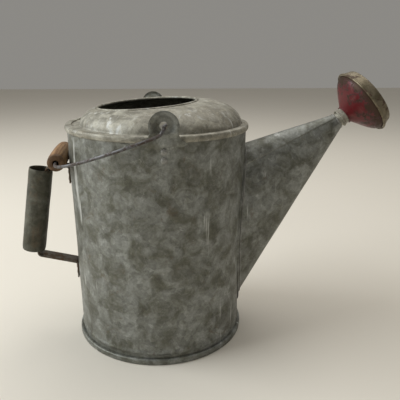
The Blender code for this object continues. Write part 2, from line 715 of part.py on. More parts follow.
def bail_route():
    """Middle line of the bail, laid back, from the turned end at -Y to the grip's middle."""
    hole = Vector((0, 0, PIVOT_Z))
    middle = Vector((GRIP_X, 0, GRIP_Z))
    away = (middle - hole).normalized()
    behind = -(EAR_INNER - BAIL_WIRE_RADIUS - BAIL_BEND - BAIL_HOOK_ROOM)
    turned = []
    for i in range(4):
        turn = math.pi / 2 * i / 4
        along = behind + BAIL_BEND * (1 - math.sin(turn))
        turned.append(hole - away * BAIL_BEND * math.cos(turn) + Vector((0, along, 0)))
    start = hole - away * BAIL_HOOK + Vector((0, behind + BAIL_BEND, 0))
    outer = -BAIL_HALF_WIDTH
    through = [hole + Vector((0, behind, 0)), hole + Vector((0, -(EAR_INNER + EAR_SHEET / 2), 0))]
    low = Vector((0, 0, PIVOT_Z - BAIL_DIP))
    slope = middle - low
    corner = []
    for short, onward, lower in BAIL_CORNER:
        along = outer + short * BAIL_CORNER_RADIUS
        corner.append(hole + Vector((0, along, 0)) + slope * onward + (low - hole) * lower)
    straight = GRIP_LENGTH / 2 + BAIL_STRAIGHT
    arm = []
    for i in range(1, 9):
        turn = math.pi / 2 * (0.10 + 0.90 * i / 8)
        across = -(straight + (BAIL_HALF_WIDTH - straight) * math.cos(turn))
        arm.append(low + slope * math.sin(turn) + Vector((0, across, 0)))
    bent = smooth_route([*through, *corner, *arm], 2)
    return [start, *turned, *bent, middle]


def build_bail(parent, material):
    half = bail_route()
    mirrored = [Vector((p.x, -p.y, p.z)) for p in half[:-1]]
    pivot = Vector((0, 0, PIVOT_Z))
    route = [p - pivot for p in half + mirrored[::-1]]
    add_object("bail_wire", round_rod(route, BAIL_WIRE_RADIUS, 8), material, parent)


def build_grip(parent, material):
    half = GRIP_LENGTH / 2
    line = []
    for i in range(13):
        share = i / 12 * 2 - 1
        radius = GRIP_RADIUS - GRIP_TAPER * share**4
        if i in (0, 12):
            radius -= GRIP_EDGE
        if i in (2, 10):
            radius -= GRIP_GROOVE
        line.append((radius, -share * half))
    section = [*line, (GRIP_BORE_RADIUS, -half), (GRIP_BORE_RADIUS, half)]
    place = Matrix.Rotation(math.pi / 2, 4, "X")
    add_object("bail_grip", turned_ring(section, 20), material, parent, place)


# ---------------------------------------------------------------- rear handle


def tube_ends():
    top = Vector((-(BODY_RADIUS_TOP + TUBE_TOP_OUT), 0, STRAP_TOP - TUBE_TOP_DROP))
    lean = TUBE_BOTTOM_OUT - TUBE_TOP_OUT
    bottom = top - Vector((lean, 0, math.sqrt(TUBE_LENGTH**2 - lean**2)))
    return top, bottom


def strap_line():
    """Middle line of the strap in the XZ plane, from the upper foot's end to the lower's."""
    top, bottom = tube_ends()
    inner = TUBE_RADIUS - SHEET - GAP
    shift = math.sqrt(inner**2 - (STRAP_WIDTH / 2) ** 2) - STRAP_SHEET / 2 - GAP
    run = (top - bottom).normalized()
    beside = Vector((run.z, 0, -run.x)) * shift
    seat = GAP + STRAP_SHEET / 2
    upper_x = -(wall_radius(STRAP_TOP) + seat)
    lower_x = -(wall_radius(STRAP_LOW) + seat)
    high = top + beside
    high += run * ((STRAP_TOP - high.z) / run.z)
    low = bottom + beside
    low -= run * ARM_DROP
    corners = [
        (upper_x, STRAP_TOP - STRAP_FOOT),
        (upper_x, STRAP_TOP),
        (high.x, high.z),
        (low.x, low.z),
        (lower_x, STRAP_LOW),
        (lower_x, STRAP_LOW - STRAP_FOOT),
    ]
    bend = STRAP_BEND + STRAP_SHEET / 2
    return rounded_line(corners, [0.6 * bend, bend, bend, 0.6 * bend])


def build_strap(parent, material):
    line = strap_line()
    section = offset_line(line, STRAP_SHEET / 2) + offset_line(line, -STRAP_SHEET / 2)[::-1]
    half = STRAP_WIDTH / 2
    rings = [[(x, side, z) for x, z in section] for side in (-half, half)]
    strap = add_object("handle_strap", loft(rings, closed=False), material, parent)
    drills = bmesh.new()
    for name, turn, z, _ in rivet_sites():
        if name.startswith("handle"):
            add_drill(drills, outward(turn, wall_radius(z), z), RIVET_HOLE_RADIUS, 8 * STRAP_SHEET, 8)
    cut(strap, drills, "strap_drills")


def build_tube(parent, material):
    top, bottom = tube_ends()
    run = top - bottom
    lean = math.atan2(run.x, run.z)
    slit = math.asin(TUBE_SEAM / 2 / TUBE_RADIUS)
    steps = 32
    turns = [slit + (2 * math.pi - 2 * slit) * i / steps for i in range(steps + 1)]
    outer = [(TUBE_RADIUS * math.cos(t), TUBE_RADIUS * math.sin(t)) for t in turns]
    inside = TUBE_RADIUS - SHEET
    inner = [(inside * math.cos(t), inside * math.sin(t)) for t in turns[::-1]]
    rings = [[(x, y, z) for x, y in outer + inner] for z in (0, run.length)]
    place = Matrix.Translation(bottom) @ Matrix.Rotation(lean, 4, "Y")
    add_object("handle_tube", loft(rings, closed=False), material, parent, place)


# ---------------------------------------------------------------- rivets


def build_rivet(name, turn, z, held, parent, material):
    """A rivet whose shank passes the wall and the piece outside it, headed on both sides."""
    inner = -SHEET - GAP
    outer = held + 2 * GAP
    if name.startswith("handle"):
        root = STRAP_TOP if "upper" in name else STRAP_LOW
        outer += wall_radius(root) - wall_radius(z)
    else:
        outer += GAP
    head = RIVET_HEAD_RADIUS
    profile = [
        (0, inner - RIVET_HEAD_HEIGHT),
        (0.55 * head, inner - 0.85 * RIVET_HEAD_HEIGHT),
        (0.94 * head, inner - 0.45 * RIVET_HEAD_HEIGHT),
        (0.94 * head, inner),
        (RIVET_SHANK_RADIUS, inner),
        (RIVET_SHANK_RADIUS, outer),
        (head, outer),
        (0.94 * head, outer + 0.45 * RIVET_HEAD_HEIGHT),
        (0.60 * head, outer + 0.85 * RIVET_HEAD_HEIGHT),
        (0, outer + RIVET_HEAD_HEIGHT),
    ]
    data = turned_solid(profile, 8)
    add_object(name, data, material, parent, outward(turn, wall_radius(z), z))


# ---------------------------------------------------------------- assembly


def centre_on_origin(root):
    """Moves the whole can along X so that its box is centred on the origin."""
    bpy.context.view_layer.update()
    corners = []
    for item in bpy.data.objects:
        if item.type == "MESH" and not item.hide_render:
            corners += [item.matrix_world @ vertex.co for vertex in item.data.vertices]
    root.location.x -= (min(c.x for c in corners) + max(c.x for c in corners)) / 2
    bpy.context.view_layer.update()


def main():
    clear_scene()
    zinc = make_material("weathered_zinc", (0.30, 0.32, 0.31), 0.62, 0.55)
    pale_zinc = make_material("pale_zinc", (0.50, 0.49, 0.44), 0.66, 0.45)
    dark_zinc = make_material("dark_zinc", (0.16, 0.17, 0.16), 0.60, 0.55)
    strap_metal = make_material("brown_strap", (0.17, 0.14, 0.11), 0.65, 0.45)
    wire_metal = make_material("bail_steel", (0.20, 0.19, 0.18), 0.50, 0.75)
    wood = make_material("turned_wood", (0.47, 0.29, 0.15), 0.60, 0.0)
    red = make_material("worn_red_paint", (0.35, 0.03, 0.04), 0.55, 0.10)
    brass = make_material("tarnished_cap", (0.24, 0.20, 0.13), 0.55, 0.60)
    rivet_metal = make_material("rivet_zinc", (0.33, 0.33, 0.31), 0.55, 0.60)

    root = add_empty("watering_can", None)
    build_wall(root, zinc)
    build_base(root, zinc)
    build_foot(root, zinc)
    build_hoop(root, pale_zinc)
    build_breast(root, pale_zinc)
    build_mouth_bead(root, pale_zinc)
    build_spout(root, zinc)
    build_nozzle(root, pale_zinc)
    build_ear("ear_near", -math.pi / 2, root, zinc)
    build_ear("ear_far", math.pi / 2, root, zinc)
    build_strap(root, strap_metal)
    build_tube(root, dark_zinc)
    for name, turn, z, held in rivet_sites():
        build_rivet(name, turn, z, held, root, rivet_metal)

    bail = add_empty("bail_pivot", root, Matrix.Translation((0, 0, PIVOT_Z)))
    build_bail(bail, wire_metal)
    grip_place = Matrix.Translation((GRIP_X, 0, GRIP_Z - PIVOT_Z))
    grip = add_empty("grip_pivot", bail, grip_place)
    build_grip(grip, wood)

    rose = add_empty("rose_slide", root, spout_frame(ROSE_STANDOFF))
    build_rose_socket(rose, pale_zinc)
    build_rose_bell(rose, red)
    build_rose_face(rose, brass)
    build_rose_crimp(rose, brass)
    centre_on_origin(root)


main()
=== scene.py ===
"""Looks of a galvanised watering can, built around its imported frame.

Metres, +Z up, spout towards +X. Places are read from the frame's nodes. Sizes that the frame
doesn't give are fields of the classes below.
"""

import logging
import math
from collections.abc import Callable, Iterator
from contextlib import contextmanager
from dataclasses import dataclass
from enum import Enum
from functools import cache

import bmesh
import bpy
from mathutils import Matrix, Vector


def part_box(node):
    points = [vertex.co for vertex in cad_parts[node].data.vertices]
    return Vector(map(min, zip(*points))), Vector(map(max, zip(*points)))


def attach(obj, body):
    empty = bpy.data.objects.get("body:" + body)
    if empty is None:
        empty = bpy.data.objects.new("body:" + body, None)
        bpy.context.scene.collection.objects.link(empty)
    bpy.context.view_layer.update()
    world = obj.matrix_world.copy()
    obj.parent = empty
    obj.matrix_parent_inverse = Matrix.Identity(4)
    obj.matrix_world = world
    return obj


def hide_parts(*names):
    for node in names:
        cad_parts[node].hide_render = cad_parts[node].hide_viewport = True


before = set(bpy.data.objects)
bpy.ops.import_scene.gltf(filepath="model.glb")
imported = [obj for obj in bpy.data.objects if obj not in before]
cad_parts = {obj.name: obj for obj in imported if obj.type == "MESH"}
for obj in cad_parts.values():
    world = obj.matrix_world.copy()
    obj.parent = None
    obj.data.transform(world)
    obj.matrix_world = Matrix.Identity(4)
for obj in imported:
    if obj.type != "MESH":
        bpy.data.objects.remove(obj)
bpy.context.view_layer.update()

log = logging.getLogger("watering_can")

SHEET = 0.0009  # thickness of the galvanised sheet
GAP = 0.0003  # clearance between pieces that touch

Colour = tuple[float, float, float]
Point = tuple[float, float]
Socket = bpy.types.NodeSocket
Item = bpy.types.Object


class Body(Enum):
    """The frame's moving bodies."""

    CAN = "can"
    BAIL = "bail"
    GRIP = "grip"
    ROSE = "rose"


class Slot(Enum):
    """The material slots of the record."""

    ZINC = "weathered_zinc"
    PALE = "pale_zinc"
    DARK = "dark_zinc"
    STRAP = "brown_strap"
    WIRE = "bail_steel"
    WOOD = "turned_wood"
    RED = "worn_red_paint"
    CAP = "tarnished_cap"
    RIVET = "rivet_zinc"


class Part(Enum):
    """What a selection is made of."""

    CORNER = "VERT"
    EDGE = "EDGE"
    FACE = "FACE"


# ---------------------------------------------------------------- bench


@cache
def node_box(node: str) -> tuple[Vector, Vector]:
    """The box of one of the frame's nodes."""
    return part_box(node)


@contextmanager
def edit_mode(item: Item) -> Iterator[None]:
    """Edit mode on one object, with everything else deselected.

    Args:
        item: The mesh object to edit.
    """
    make_only(item)
    bpy.ops.object.mode_set(mode="EDIT")
    yield
    bpy.ops.object.mode_set(mode="OBJECT")


def make_only(item: Item) -> None:
    """Makes one object the only selected one, and the active one."""
    bpy.ops.object.select_all(action="DESELECT")
    item.select_set(True)
    bpy.context.view_layer.objects.active = item


def pick(item: Item, part: Part, test: Callable[[Vector], bool]) -> int:
    """Selects those parts of an edited mesh whose middle passes a test, and nothing else.

    Args:
        item: The object in edit mode.
        part: Whether corners, edges or faces are picked.
        test: Says of a middle point whether its part is picked.

    Returns:
        How many were picked.
    """
    bpy.ops.mesh.select_mode(type=part.value)
    bpy.ops.mesh.select_all(action="DESELECT")
    shape = bmesh.from_edit_mesh(item.data)
    rows = {Part.CORNER: shape.verts, Part.EDGE: shape.edges, Part.FACE: shape.faces}[part]
    picked = 0
    for element in rows:
        corners = [element] if part is Part.CORNER else list(element.verts)
        middle = sum((corner.co for corner in corners), Vector()) / len(corners)
        if test(middle):
            element.select_set(True)
            picked += 1
    shape.select_flush_mode()
    bmesh.update_edit_mesh(item.data)
    return picked


def start_point(name: str) -> Item:
    """A new object that is a single corner at the origin, ready to be extruded."""
    bpy.ops.object.select_all(action="DESELECT")
    bpy.ops.mesh.primitive_plane_add(size=0.01, location=(0, 0, 0))
    item = bpy.context.object
    item.name = name
    item.data.name = name
    with edit_mode(item):
        bpy.ops.mesh.select_all(action="SELECT")
        bpy.ops.mesh.merge(type="CENTER")
    return item


def draw_line(item: Item, points: list[Vector]) -> None:
    """Moves an edited object's corner to the first point and extrudes it through the rest.

    Args:
        item: Not used; the object in edit mode, made by start_point, is the one changed.
        points: The line's points in order.
    """
    bpy.ops.mesh.select_all(action="SELECT")
    bpy.ops.transform.translate(value=points[0])
    for point, after in zip(points, points[1:]):
        bpy.ops.mesh.extrude_vertices_move(TRANSFORM_OT_translate={"value": after - point})


def turned(name: str, profile: list[Point], steps: int = 96, sweep: float = 360.0) -> Item:
    """A profile spun about the Z axis.

    Args:
        name: The new object's name.
        profile: (radius, height) points. A closed section repeats its first point.
        steps: Facets of the whole sweep.
        sweep: Degrees that the profile turns through, from the +X side.

    Returns:
        The turned object, with its doubles merged and its faces pointing out.
    """
    item = start_point(name)
    with edit_mode(item):
        draw_line(item, [Vector((radius, 0, height)) for radius, height in profile])
        bpy.ops.mesh.select_all(action="SELECT")
        bpy.ops.mesh.spin(steps=steps, angle=math.radians(sweep), center=(0, 0, 0), axis=(0, 0, 1))
        merge_and_face_out()
    return item


def merge_and_face_out() -> None:
    """Merges an edited mesh's doubles and turns its faces outwards."""
    bpy.ops.mesh.select_all(action="SELECT")
    bpy.ops.mesh.remove_doubles(threshold=0.00001)
    bpy.ops.mesh.normals_make_consistent(inside=False)


def bead(centre: Point, radius: float, start: float, end: float, steps: int) -> list[Point]:
    """Points of an arc in a profile.

    Args:
        centre: (radius, height) of the arc's middle.
        radius: The arc's own radius.
        start: Degrees at its start, from outwards towards up.
        end: Degrees at its end.
        steps: Straight pieces of the arc.

    Returns:
        steps + 1 points.
    """
    points = []
    for i in range(steps + 1):
        turn = math.radians(start + (end - start) * i / steps)
        points.append((centre[0] + radius * math.cos(turn), centre[1] + radius * math.sin(turn)))
    return points


@dataclass(frozen=True)
class Ring:
    """An oval ring of a skin: its middle, its half sizes, and its tilt about the Y axis."""

    middle: Vector
    deep: float
    wide: float
    tilt: float = 0.0


def skinned(name: str, rings: list[Ring], segments: int, closed_ends: bool = False) -> Item:
    """A skin bridged from ring to ring.

    Args:
        name: The new object's name.
        rings: The rings in order, each an added circle.
        segments: Corners of every ring.
        closed_ends: Whether the first and last rings are filled.

    Returns:
        The skin, with its faces pointing out.
    """
    bpy.ops.object.select_all(action="DESELECT")
    item = None
    for i, ring in enumerate(rings):
        fill = "NGON" if closed_ends and i in (0, len(rings) - 1) else "NOTHING"
        bpy.ops.mesh.primitive_circle_add(
            vertices=segments, radius=ring.deep, fill_type=fill, location=ring.middle,
            rotation=(0, ring.tilt, 0),
        )
        if item is None:
            item = bpy.context.object
            item.name = name
            item.data.name = name
            bpy.ops.object.transform_apply(location=True, rotation=True, scale=True)
            bpy.ops.object.mode_set(mode="EDIT")
        widening = (1, ring.wide / ring.deep, 1)
        bpy.ops.transform.resize(value=widening, center_override=ring.middle)
        if i == 0:
            continue
        bpy.ops.mesh.select_mode(type="EDGE")
        shape = bmesh.from_edit_mesh(item.data)
        first = (i - 1) * segments
        for edge in shape.edges:
            ends = [corner.index for corner in edge.verts]
            edge.select_set(min(ends) >= first and len({e // segments for e in ends}) == 1)
        bmesh.update_edit_mesh(item.data)
        bpy.ops.mesh.bridge_edge_loops()
    merge_and_face_out()
    bpy.ops.object.mode_set(mode="OBJECT")
    return item


def wire(name: str, points: list[Vector], radius: float, rounds: int = 5) -> Item:
    """A round rod along a line of points, as a mesh with filled ends.

    Args:
        name: The new object's name.
        points: The rod's middle line.
        radius: The rod's radius.
        rounds: The bevel's resolution.

    Returns:
        The rod.
    """
    curve = bpy.data.curves.new(name, "CURVE")
    curve.dimensions = "3D"
    curve.bevel_depth = radius
    curve.bevel_resolution = rounds
    curve.use_fill_caps = True
    spline = curve.splines.new("POLY")
    spline.points.add(len(points) - 1)
    for corner, point in zip(spline.points, points):
        corner.co = (*point, 1.0)
    item = bpy.data.objects.new(name, curve)
    bpy.context.collection.objects.link(item)
    make_only(item)
    bpy.ops.object.convert(target="MESH")
    item = bpy.context.object
    item.data.name = name
    with edit_mode(item):
        merge_and_face_out()
    return item


def shape_with(item: Item, kind: str, **settings: object) -> None:
    """Adds one modifier to an object, sets it and applies it.

    Args:
        item: The object to shape.
        kind: The modifier's type.
        settings: The modifier's own settings.
    """
    make_only(item)
    modifier = item.modifiers.new(kind.lower(), kind)
    for key, value in settings.items():
        setattr(modifier, key, value)
    bpy.ops.object.modifier_apply(modifier=modifier.name)


def thicken(item: Item, thickness: float, side: float = -1.0) -> None:
    """Gives a skin its thickness, inwards unless side says otherwise."""
    shape_with(item, "SOLIDIFY", thickness=thickness, offset=side, use_even_offset=True)


def soften(item: Item, width: float, segments: int = 2, angle: float = 40.0) -> None:
    """Rounds the sharp edges of a mesh.

    Args:
        item: The object whose edges are rounded.
        width: Width of the rounding.
        segments: Facets across it.
        angle: Edges sharper than this, in degrees, are rounded.
    """
    shape_with(
        item, "BEVEL", width=width, segments=segments, limit_method="ANGLE",
        angle_limit=math.radians(angle), use_clamp_overlap=True,
    )


def weigh(item: Item, name: str, amount: Callable[[Vector], float]) -> str:
    """Gives an object a vertex group whose weight follows a rule.

    Args:
        item: The object.
        name: The group's name.
        amount: The weight, from 0 to 1, at a corner's place.

    Returns:
        The group's name.
    """
    group = item.vertex_groups.new(name=name)
    for corner in item.data.vertices:
        group.add([corner.index], amount(corner.co), "REPLACE")
    return name


def dent(item: Item, depth: float, size: float, group: str = "", grain: int = 1) -> None:
    """Makes a skin uneven, as handled sheet metal is.

    Args:
        item: The object to work on.
        depth: Height from the deepest hollow to the highest swelling.
        size: Distance over which the surface rises and falls.
        group: A vertex group that limits it.
        grain: Finer levels of unevenness that are added.
    """
    cloud = bpy.data.textures.new(f"{item.name}_cloud", "CLOUDS")
    cloud.noise_scale = size
    cloud.noise_depth = grain
    shape_with(
        item, "DISPLACE", texture=cloud, texture_coords="LOCAL", strength=depth,
        mid_level=0.5, vertex_group=group,
    )


def put(item: Item, place: Matrix) -> None:
    """Moves a piece that was made at the origin to its place, inside its mesh."""
    item.matrix_world = place
    make_only(item)
    bpy.ops.object.transform_apply(location=True, rotation=True, scale=True)


def joined(items: list[Item]) -> Item:
    """Several objects as one, under the first one's name."""
    make_only(items[0])
    for item in items[1:]:
        item.select_set(True)
    bpy.ops.object.join()
    return items[0]


def combine(item: Item, tool: Item, operation: str = "DIFFERENCE", keep: bool = False) -> None:
    """Cuts an object with another, or keeps only what both hold.

    Args:
        item: The object that is changed.
        tool: The object that it is cut with.
        operation: The Boolean's operation.
        keep: Whether the tool is left in the scene.
    """
    shape_with(item, "BOOLEAN", object=tool, operation=operation, solver="EXACT")
    if not keep:
        bpy.data.objects.remove(tool, do_unlink=True)


def drill(name: str, place: Matrix, radius: float, length: float, sides: int = 16) -> Item:
    """A round cutter along place's Z axis, half of it on each side of the place."""
    bpy.ops.object.select_all(action="DESELECT")
    bpy.ops.mesh.primitive_cylinder_add(vertices=sides, radius=radius, depth=length)
    item = bpy.context.object
    item.name = name
    put(item, place)
    return item


def smooth_route(points: list[Vector], steps: int) -> list[Vector]:
    """Points along a smooth curve through the given ones.

    Args:
        points: What the curve passes through.
        steps: Pieces between one given point and the next.

    Returns:
        The curve's points.
    """
    route = []
    padded = [2 * points[0] - points[1], *points, 2 * points[-1] - points[-2]]
    for p0, p1, p2, p3 in zip(padded, padded[1:], padded[2:], padded[3:]):
        for i in range(steps):
            t = i / steps
            drift = (p2 - p0) * t + (2 * p0 - 5 * p1 + 4 * p2 - p3) * t**2
            route.append(p1 + 0.5 * (drift + (3 * p1 - p0 - 3 * p2 + p3) * t**3))
    route.append(points[-1])
    return route


def hand_over(
    item: Item, body: Body, slot: Slot, finish: bpy.types.Material, *nodes: str, angle: float = 35.0
) -> None:
    """Dresses a finished piece and joins it to the frame.

    Args:
        item: The piece.
        body: The body that it rides on.
        slot: Not used.
        finish: Its material.
        nodes: The frame's nodes that it stands for.
        angle: Edges sharper than this, in degrees, stay crisp.
    """
    make_only(item)
    bpy.ops.object.shade_smooth_by_angle(angle=math.radians(angle))
    item.data.materials.clear()
    item.data.materials.append(finish)
    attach(item, body.value)
    if nodes:
        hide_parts(*nodes)
    log.info("%s: %d faces on %s", item.name, len(item.data.polygons), body.value)


# ---------------------------------------------------------------- finishes


class Recipe:
    """A finish that is mixed step by step on Object coordinates."""

    def __init__(self, name: str, place: Matrix | None = None) -> None:
        """Starts a Principled finish.

        Args:
            name: The material's name.
            place: The frame that the pattern is laid out in, if it isn't the can's own.
        """
        self.material = bpy.data.materials.new(name)
        self.material.use_nodes = True
        self.nodes = self.material.node_tree.nodes
        self.links = self.material.node_tree.links
        self.shader = self.nodes["Principled BSDF"]
        self.at = self.nodes.new("ShaderNodeTexCoord").outputs["Object"]
        self.normal: Socket | None = None
        if place is not None:
            mapping = self.nodes.new("ShaderNodeMapping")
            mapping.vector_type = "TEXTURE"
            mapping.inputs["Location"].default_value = place.to_translation()
            mapping.inputs["Rotation"].default_value = place.to_euler()
            self.links.new(self.at, mapping.inputs["Vector"])
            self.at = mapping.outputs["Vector"]

    def feed(self, socket: Socket, value: Socket | float | Colour) -> None:
        """Links or sets one input."""
        if isinstance(value, bpy.types.NodeSocket):
            self.links.new(value, socket)
        elif isinstance(value, tuple):
            socket.default_value = (*value, 1.0)
        else:
            socket.default_value = value

    def stretched(self, scale: Colour) -> Socket:
        """The pattern's coordinates, scaled along each axis."""
        mapping = self.nodes.new("ShaderNodeMapping")
        mapping.inputs["Scale"].default_value = scale
        self.links.new(self.at, mapping.inputs["Vector"])
        return mapping.outputs["Vector"]

    def split(self) -> list[Socket]:
        """The pattern's X, Y and Z."""
        node = self.nodes.new("ShaderNodeSeparateXYZ")
        self.links.new(self.at, node.inputs["Vector"])
        return list(node.outputs)

    def noise(
        self, scale: float, detail: float = 4.0, rough: float = 0.5, twist: float = 0.0,
        at: Socket | None = None,
    ) -> Socket:
        """Soft noise.

        Args:
            scale: Its features to the metre.
            detail: Finer levels.
            rough: How strong the finer levels are.
            twist: Distortion.
            at: Coordinates, if they aren't the recipe's own.

        Returns:
            A value around 0.5.
        """
        node = self.nodes.new("ShaderNodeTexNoise")
        node.inputs["Scale"].default_value = scale
        node.inputs["Detail"].default_value = detail
        node.inputs["Roughness"].default_value = rough
        node.inputs["Distortion"].default_value = twist
        self.links.new(self.at if at is None else at, node.inputs["Vector"])
        return node.outputs["Fac"]

    def crystals(self, scale: float) -> Socket:
        """A random tone for each crystal of a spangled surface."""
        node = self.nodes.new("ShaderNodeTexVoronoi")
        node.inputs["Scale"].default_value = scale
        self.links.new(self.at, node.inputs["Vector"])
        tone = self.nodes.new("ShaderNodeSeparateColor")
        self.links.new(node.outputs["Color"], tone.inputs["Color"])
        return tone.outputs["Red"]

    def limits(self, value: Socket, low: float, high: float) -> Socket:
        """A smooth step from 0 at low to 1 at high."""
        node = self.nodes.new("ShaderNodeMapRange")
        node.interpolation_type = "SMOOTHSTEP"
        node.inputs["From Min"].default_value = low
        node.inputs["From Max"].default_value = high
        self.links.new(value, node.inputs["Value"])
        return node.outputs["Result"]

    def sum(self, operation: str, first: Socket | float, second: Socket | float = 0.0) -> Socket:
        """One step of arithmetic."""
        node = self.nodes.new("ShaderNodeMath")
        node.operation = operation
        self.feed(node.inputs[0], first)
        self.feed(node.inputs[1], second)
        return node.outputs["Value"]

    def mix(
        self, amount: Socket | float, under: Socket | Colour, over: Socket | Colour,
        mode: str = "MIX",
    ) -> Socket:
        """One colour laid over another.

        Args:
            amount: How much of the upper colour shows.
            under: The lower colour.
            over: The upper colour.
            mode: How they blend.

        Returns:
            The mixed colour.
        """
        node = self.nodes.new("ShaderNodeMix")
        node.data_type = "RGBA"
        node.blend_type = mode
        self.feed(node.inputs["Factor"], amount)
        self.feed(node.inputs[6], under)
        self.feed(node.inputs[7], over)
        return node.outputs[2]

    def grey(self, value: Socket, low: float, high: float) -> Socket:
        """A grey that runs between two brightnesses as a value runs from 0 to 1."""
        node = self.nodes.new("ShaderNodeMapRange")
        node.inputs["To Min"].default_value = low
        node.inputs["To Max"].default_value = high
        self.links.new(value, node.inputs["Value"])
        return node.outputs["Result"]

    def raise_by(self, height: Socket, depth: float, strength: float = 1.0) -> None:
        """Adds one level of relief."""
        node = self.nodes.new("ShaderNodeBump")
        node.inputs["Strength"].default_value = strength
        node.inputs["Distance"].default_value = depth
        self.links.new(height, node.inputs["Height"])
        if self.normal is not None:
            self.links.new(self.normal, node.inputs["Normal"])
        self.normal = node.outputs["Normal"]

    def done(
        self, colour: Socket, rough: Socket | float, metallic: Socket | float, specular: float = 0.5
    ) -> bpy.types.Material:
        """Feeds the shader.

        Args:
            colour: The base colour.
            rough: The roughness.
            metallic: How metallic it is.
            specular: The specular level.

        Returns:
            The material.
        """
        self.feed(self.shader.inputs["Base Color"], colour)
        self.feed(self.shader.inputs["Roughness"], rough)
        self.feed(self.shader.inputs["Metallic"], metallic)
        self.shader.inputs["Specular IOR Level"].default_value = specular
        if self.normal is not None:
            self.links.new(self.normal, self.shader.inputs["Normal"])
        return self.material


@dataclass(frozen=True)
class Galvanising:
    """Dull zinc with crystals, dark blotches, pale bloom, run marks and brown stains."""

    name: str
    pale: Colour
    dark: Colour
    bloom: Colour = (0.62, 0.63, 0.60)
    stain: Colour = (0.13, 0.10, 0.065)
    blotches: float = 48.0  # to the metre
    crystal: float = 150.0  # to the metre
    crystal_share: float = 0.22
    bloom_from: float = 0.60  # less shows more bloom
    run_from: float = 0.60  # less shows more run marks
    stain_from: float = 0.58  # less shows more stains
    rough: float = 0.55
    metallic: float = 0.55
    relief: float = 0.0002

    def make(self) -> bpy.types.Material:
        """The material."""
        mixing = Recipe(self.name)
        cloud = mixing.noise(self.blotches, 6.0, 0.62, 0.6)
        body = mixing.mix(mixing.limits(cloud, 0.32, 0.68), self.dark, self.pale)
        crystal = mixing.crystals(self.crystal)
        tone = mixing.grey(crystal, 1.0 - self.crystal_share, 1.0 + self.crystal_share)
        body = mixing.mix(1.0, body, tone, "MULTIPLY")
        mottle = mixing.noise(self.blotches * 7, 4.0, 0.8)
        body = mixing.mix(1.0, body, mixing.grey(mottle, 0.36, 1.56), "MULTIPLY")
        soil = mixing.noise(self.blotches * 0.8, 5.0, 0.7, 1.2)
        stained = mixing.limits(soil, self.stain_from, self.stain_from + 0.14)
        body = mixing.mix(mixing.sum("MULTIPLY", stained, 0.65), body, self.stain)
        runs = mixing.noise(1.0, 5.0, 0.55, at=mixing.stretched((95.0, 95.0, 7.0)))
        run = mixing.limits(runs, self.run_from, self.run_from + 0.08)
        patch = mixing.limits(mixing.noise(13.0, 2.0), 0.50, 0.60)
        run = mixing.sum("MULTIPLY", run, patch)
        body = mixing.mix(mixing.sum("MULTIPLY", run, 0.8), body, self.bloom)
        chalk = mixing.noise(self.blotches * 2.2, 8.0, 0.75, 0.8)
        powder = mixing.limits(chalk, self.bloom_from, self.bloom_from + 0.13)
        body = mixing.mix(mixing.sum("MULTIPLY", powder, 0.55), body, self.bloom)
        sheen = mixing.grey(crystal, self.rough - 0.09, self.rough + 0.09)
        rough = mixing.sum("ADD", sheen, mixing.sum("MULTIPLY", powder, 0.2))
        metallic = mixing.grey(mixing.sum("MAXIMUM", powder, run), self.metallic, self.metallic * 0.35)
        mixing.raise_by(mottle, self.relief)
        mixing.raise_by(mixing.noise(900.0, 2.0, 0.6), self.relief * 0.25)
        return mixing.done(body, rough, metallic)


@dataclass(frozen=True)
class Rusting:
    """Bare or thinly coated steel that is browned, with rust freckles."""

    name: str
    metal: Colour
    rust: Colour
    rust_from: float = 0.50
    rough: float = 0.5
    metallic: float = 0.8

    def make(self) -> bpy.types.Material:
        """The material."""
        mixing = Recipe(self.name)
        cloud = mixing.noise(120.0, 6.0, 0.7, 0.5)
        rusty = mixing.limits(cloud, self.rust_from - 0.08, self.rust_from + 0.08)
        body = mixing.mix(rusty, self.metal, self.rust)
        fine = mixing.noise(900.0, 3.0, 0.7)
        body = mixing.mix(1.0, body, mixing.grey(fine, 0.7, 1.3), "MULTIPLY")
        mixing.raise_by(fine, 0.00012)
        rough = mixing.grey(rusty, self.rough, self.rough + 0.25)
        return mixing.done(body, rough, mixing.grey(rusty, self.metallic, 0.15))


@dataclass(frozen=True)
class TurnedWood:
    """Worn turned hardwood, its grain along the local Z axis, darkened near its ends by painted shade."""

    name: str
    place: Matrix
    half_length: float
    pale: Colour = (0.36, 0.215, 0.105)
    dark: Colour = (0.17, 0.085, 0.035)
    # dark of the pores, and painted shade at the grip's ends
    pore_and_shade: Colour = (0.045, 0.024, 0.012)

    def make(self) -> bpy.types.Material:
        """The material."""
        mixing = Recipe(self.name, self.place)
        grain = mixing.noise(1.0, 5.0, 0.6, 0.4, at=mixing.stretched((260.0, 260.0, 14.0)))
        body = mixing.mix(mixing.limits(grain, 0.36, 0.64), self.dark, self.pale)
        pores = mixing.noise(1.0, 2.0, 0.5, at=mixing.stretched((1500.0, 1500.0, 90.0)))
        body = mixing.mix(mixing.sum("MULTIPLY", mixing.limits(pores, 0.60, 0.68), 0.6), body, self.pore_and_shade)
        along = mixing.sum("ABSOLUTE", mixing.split()[2])
        # Painted shade: the grip darkens towards both ends.
        end = mixing.limits(along, self.half_length * 0.70, self.half_length)
        end_shade = mixing.sum("MULTIPLY", end, mixing.grey(mixing.noise(90.0, 4.0, 0.6), 0.5, 1.3))
        body = mixing.mix(mixing.sum("MULTIPLY", end_shade, 0.75), body, self.pore_and_shade)
        smudge = mixing.limits(mixing.noise(55.0, 4.0, 0.65), 0.54, 0.70)
        body = mixing.mix(mixing.sum("MULTIPLY", smudge, 0.5), body, self.dark)
        mixing.raise_by(grain, 0.00025)
        mixing.raise_by(pores, 0.00010)
        return mixing.done(body, mixing.grey(grain, 0.62, 0.46), 0.0, 0.35)


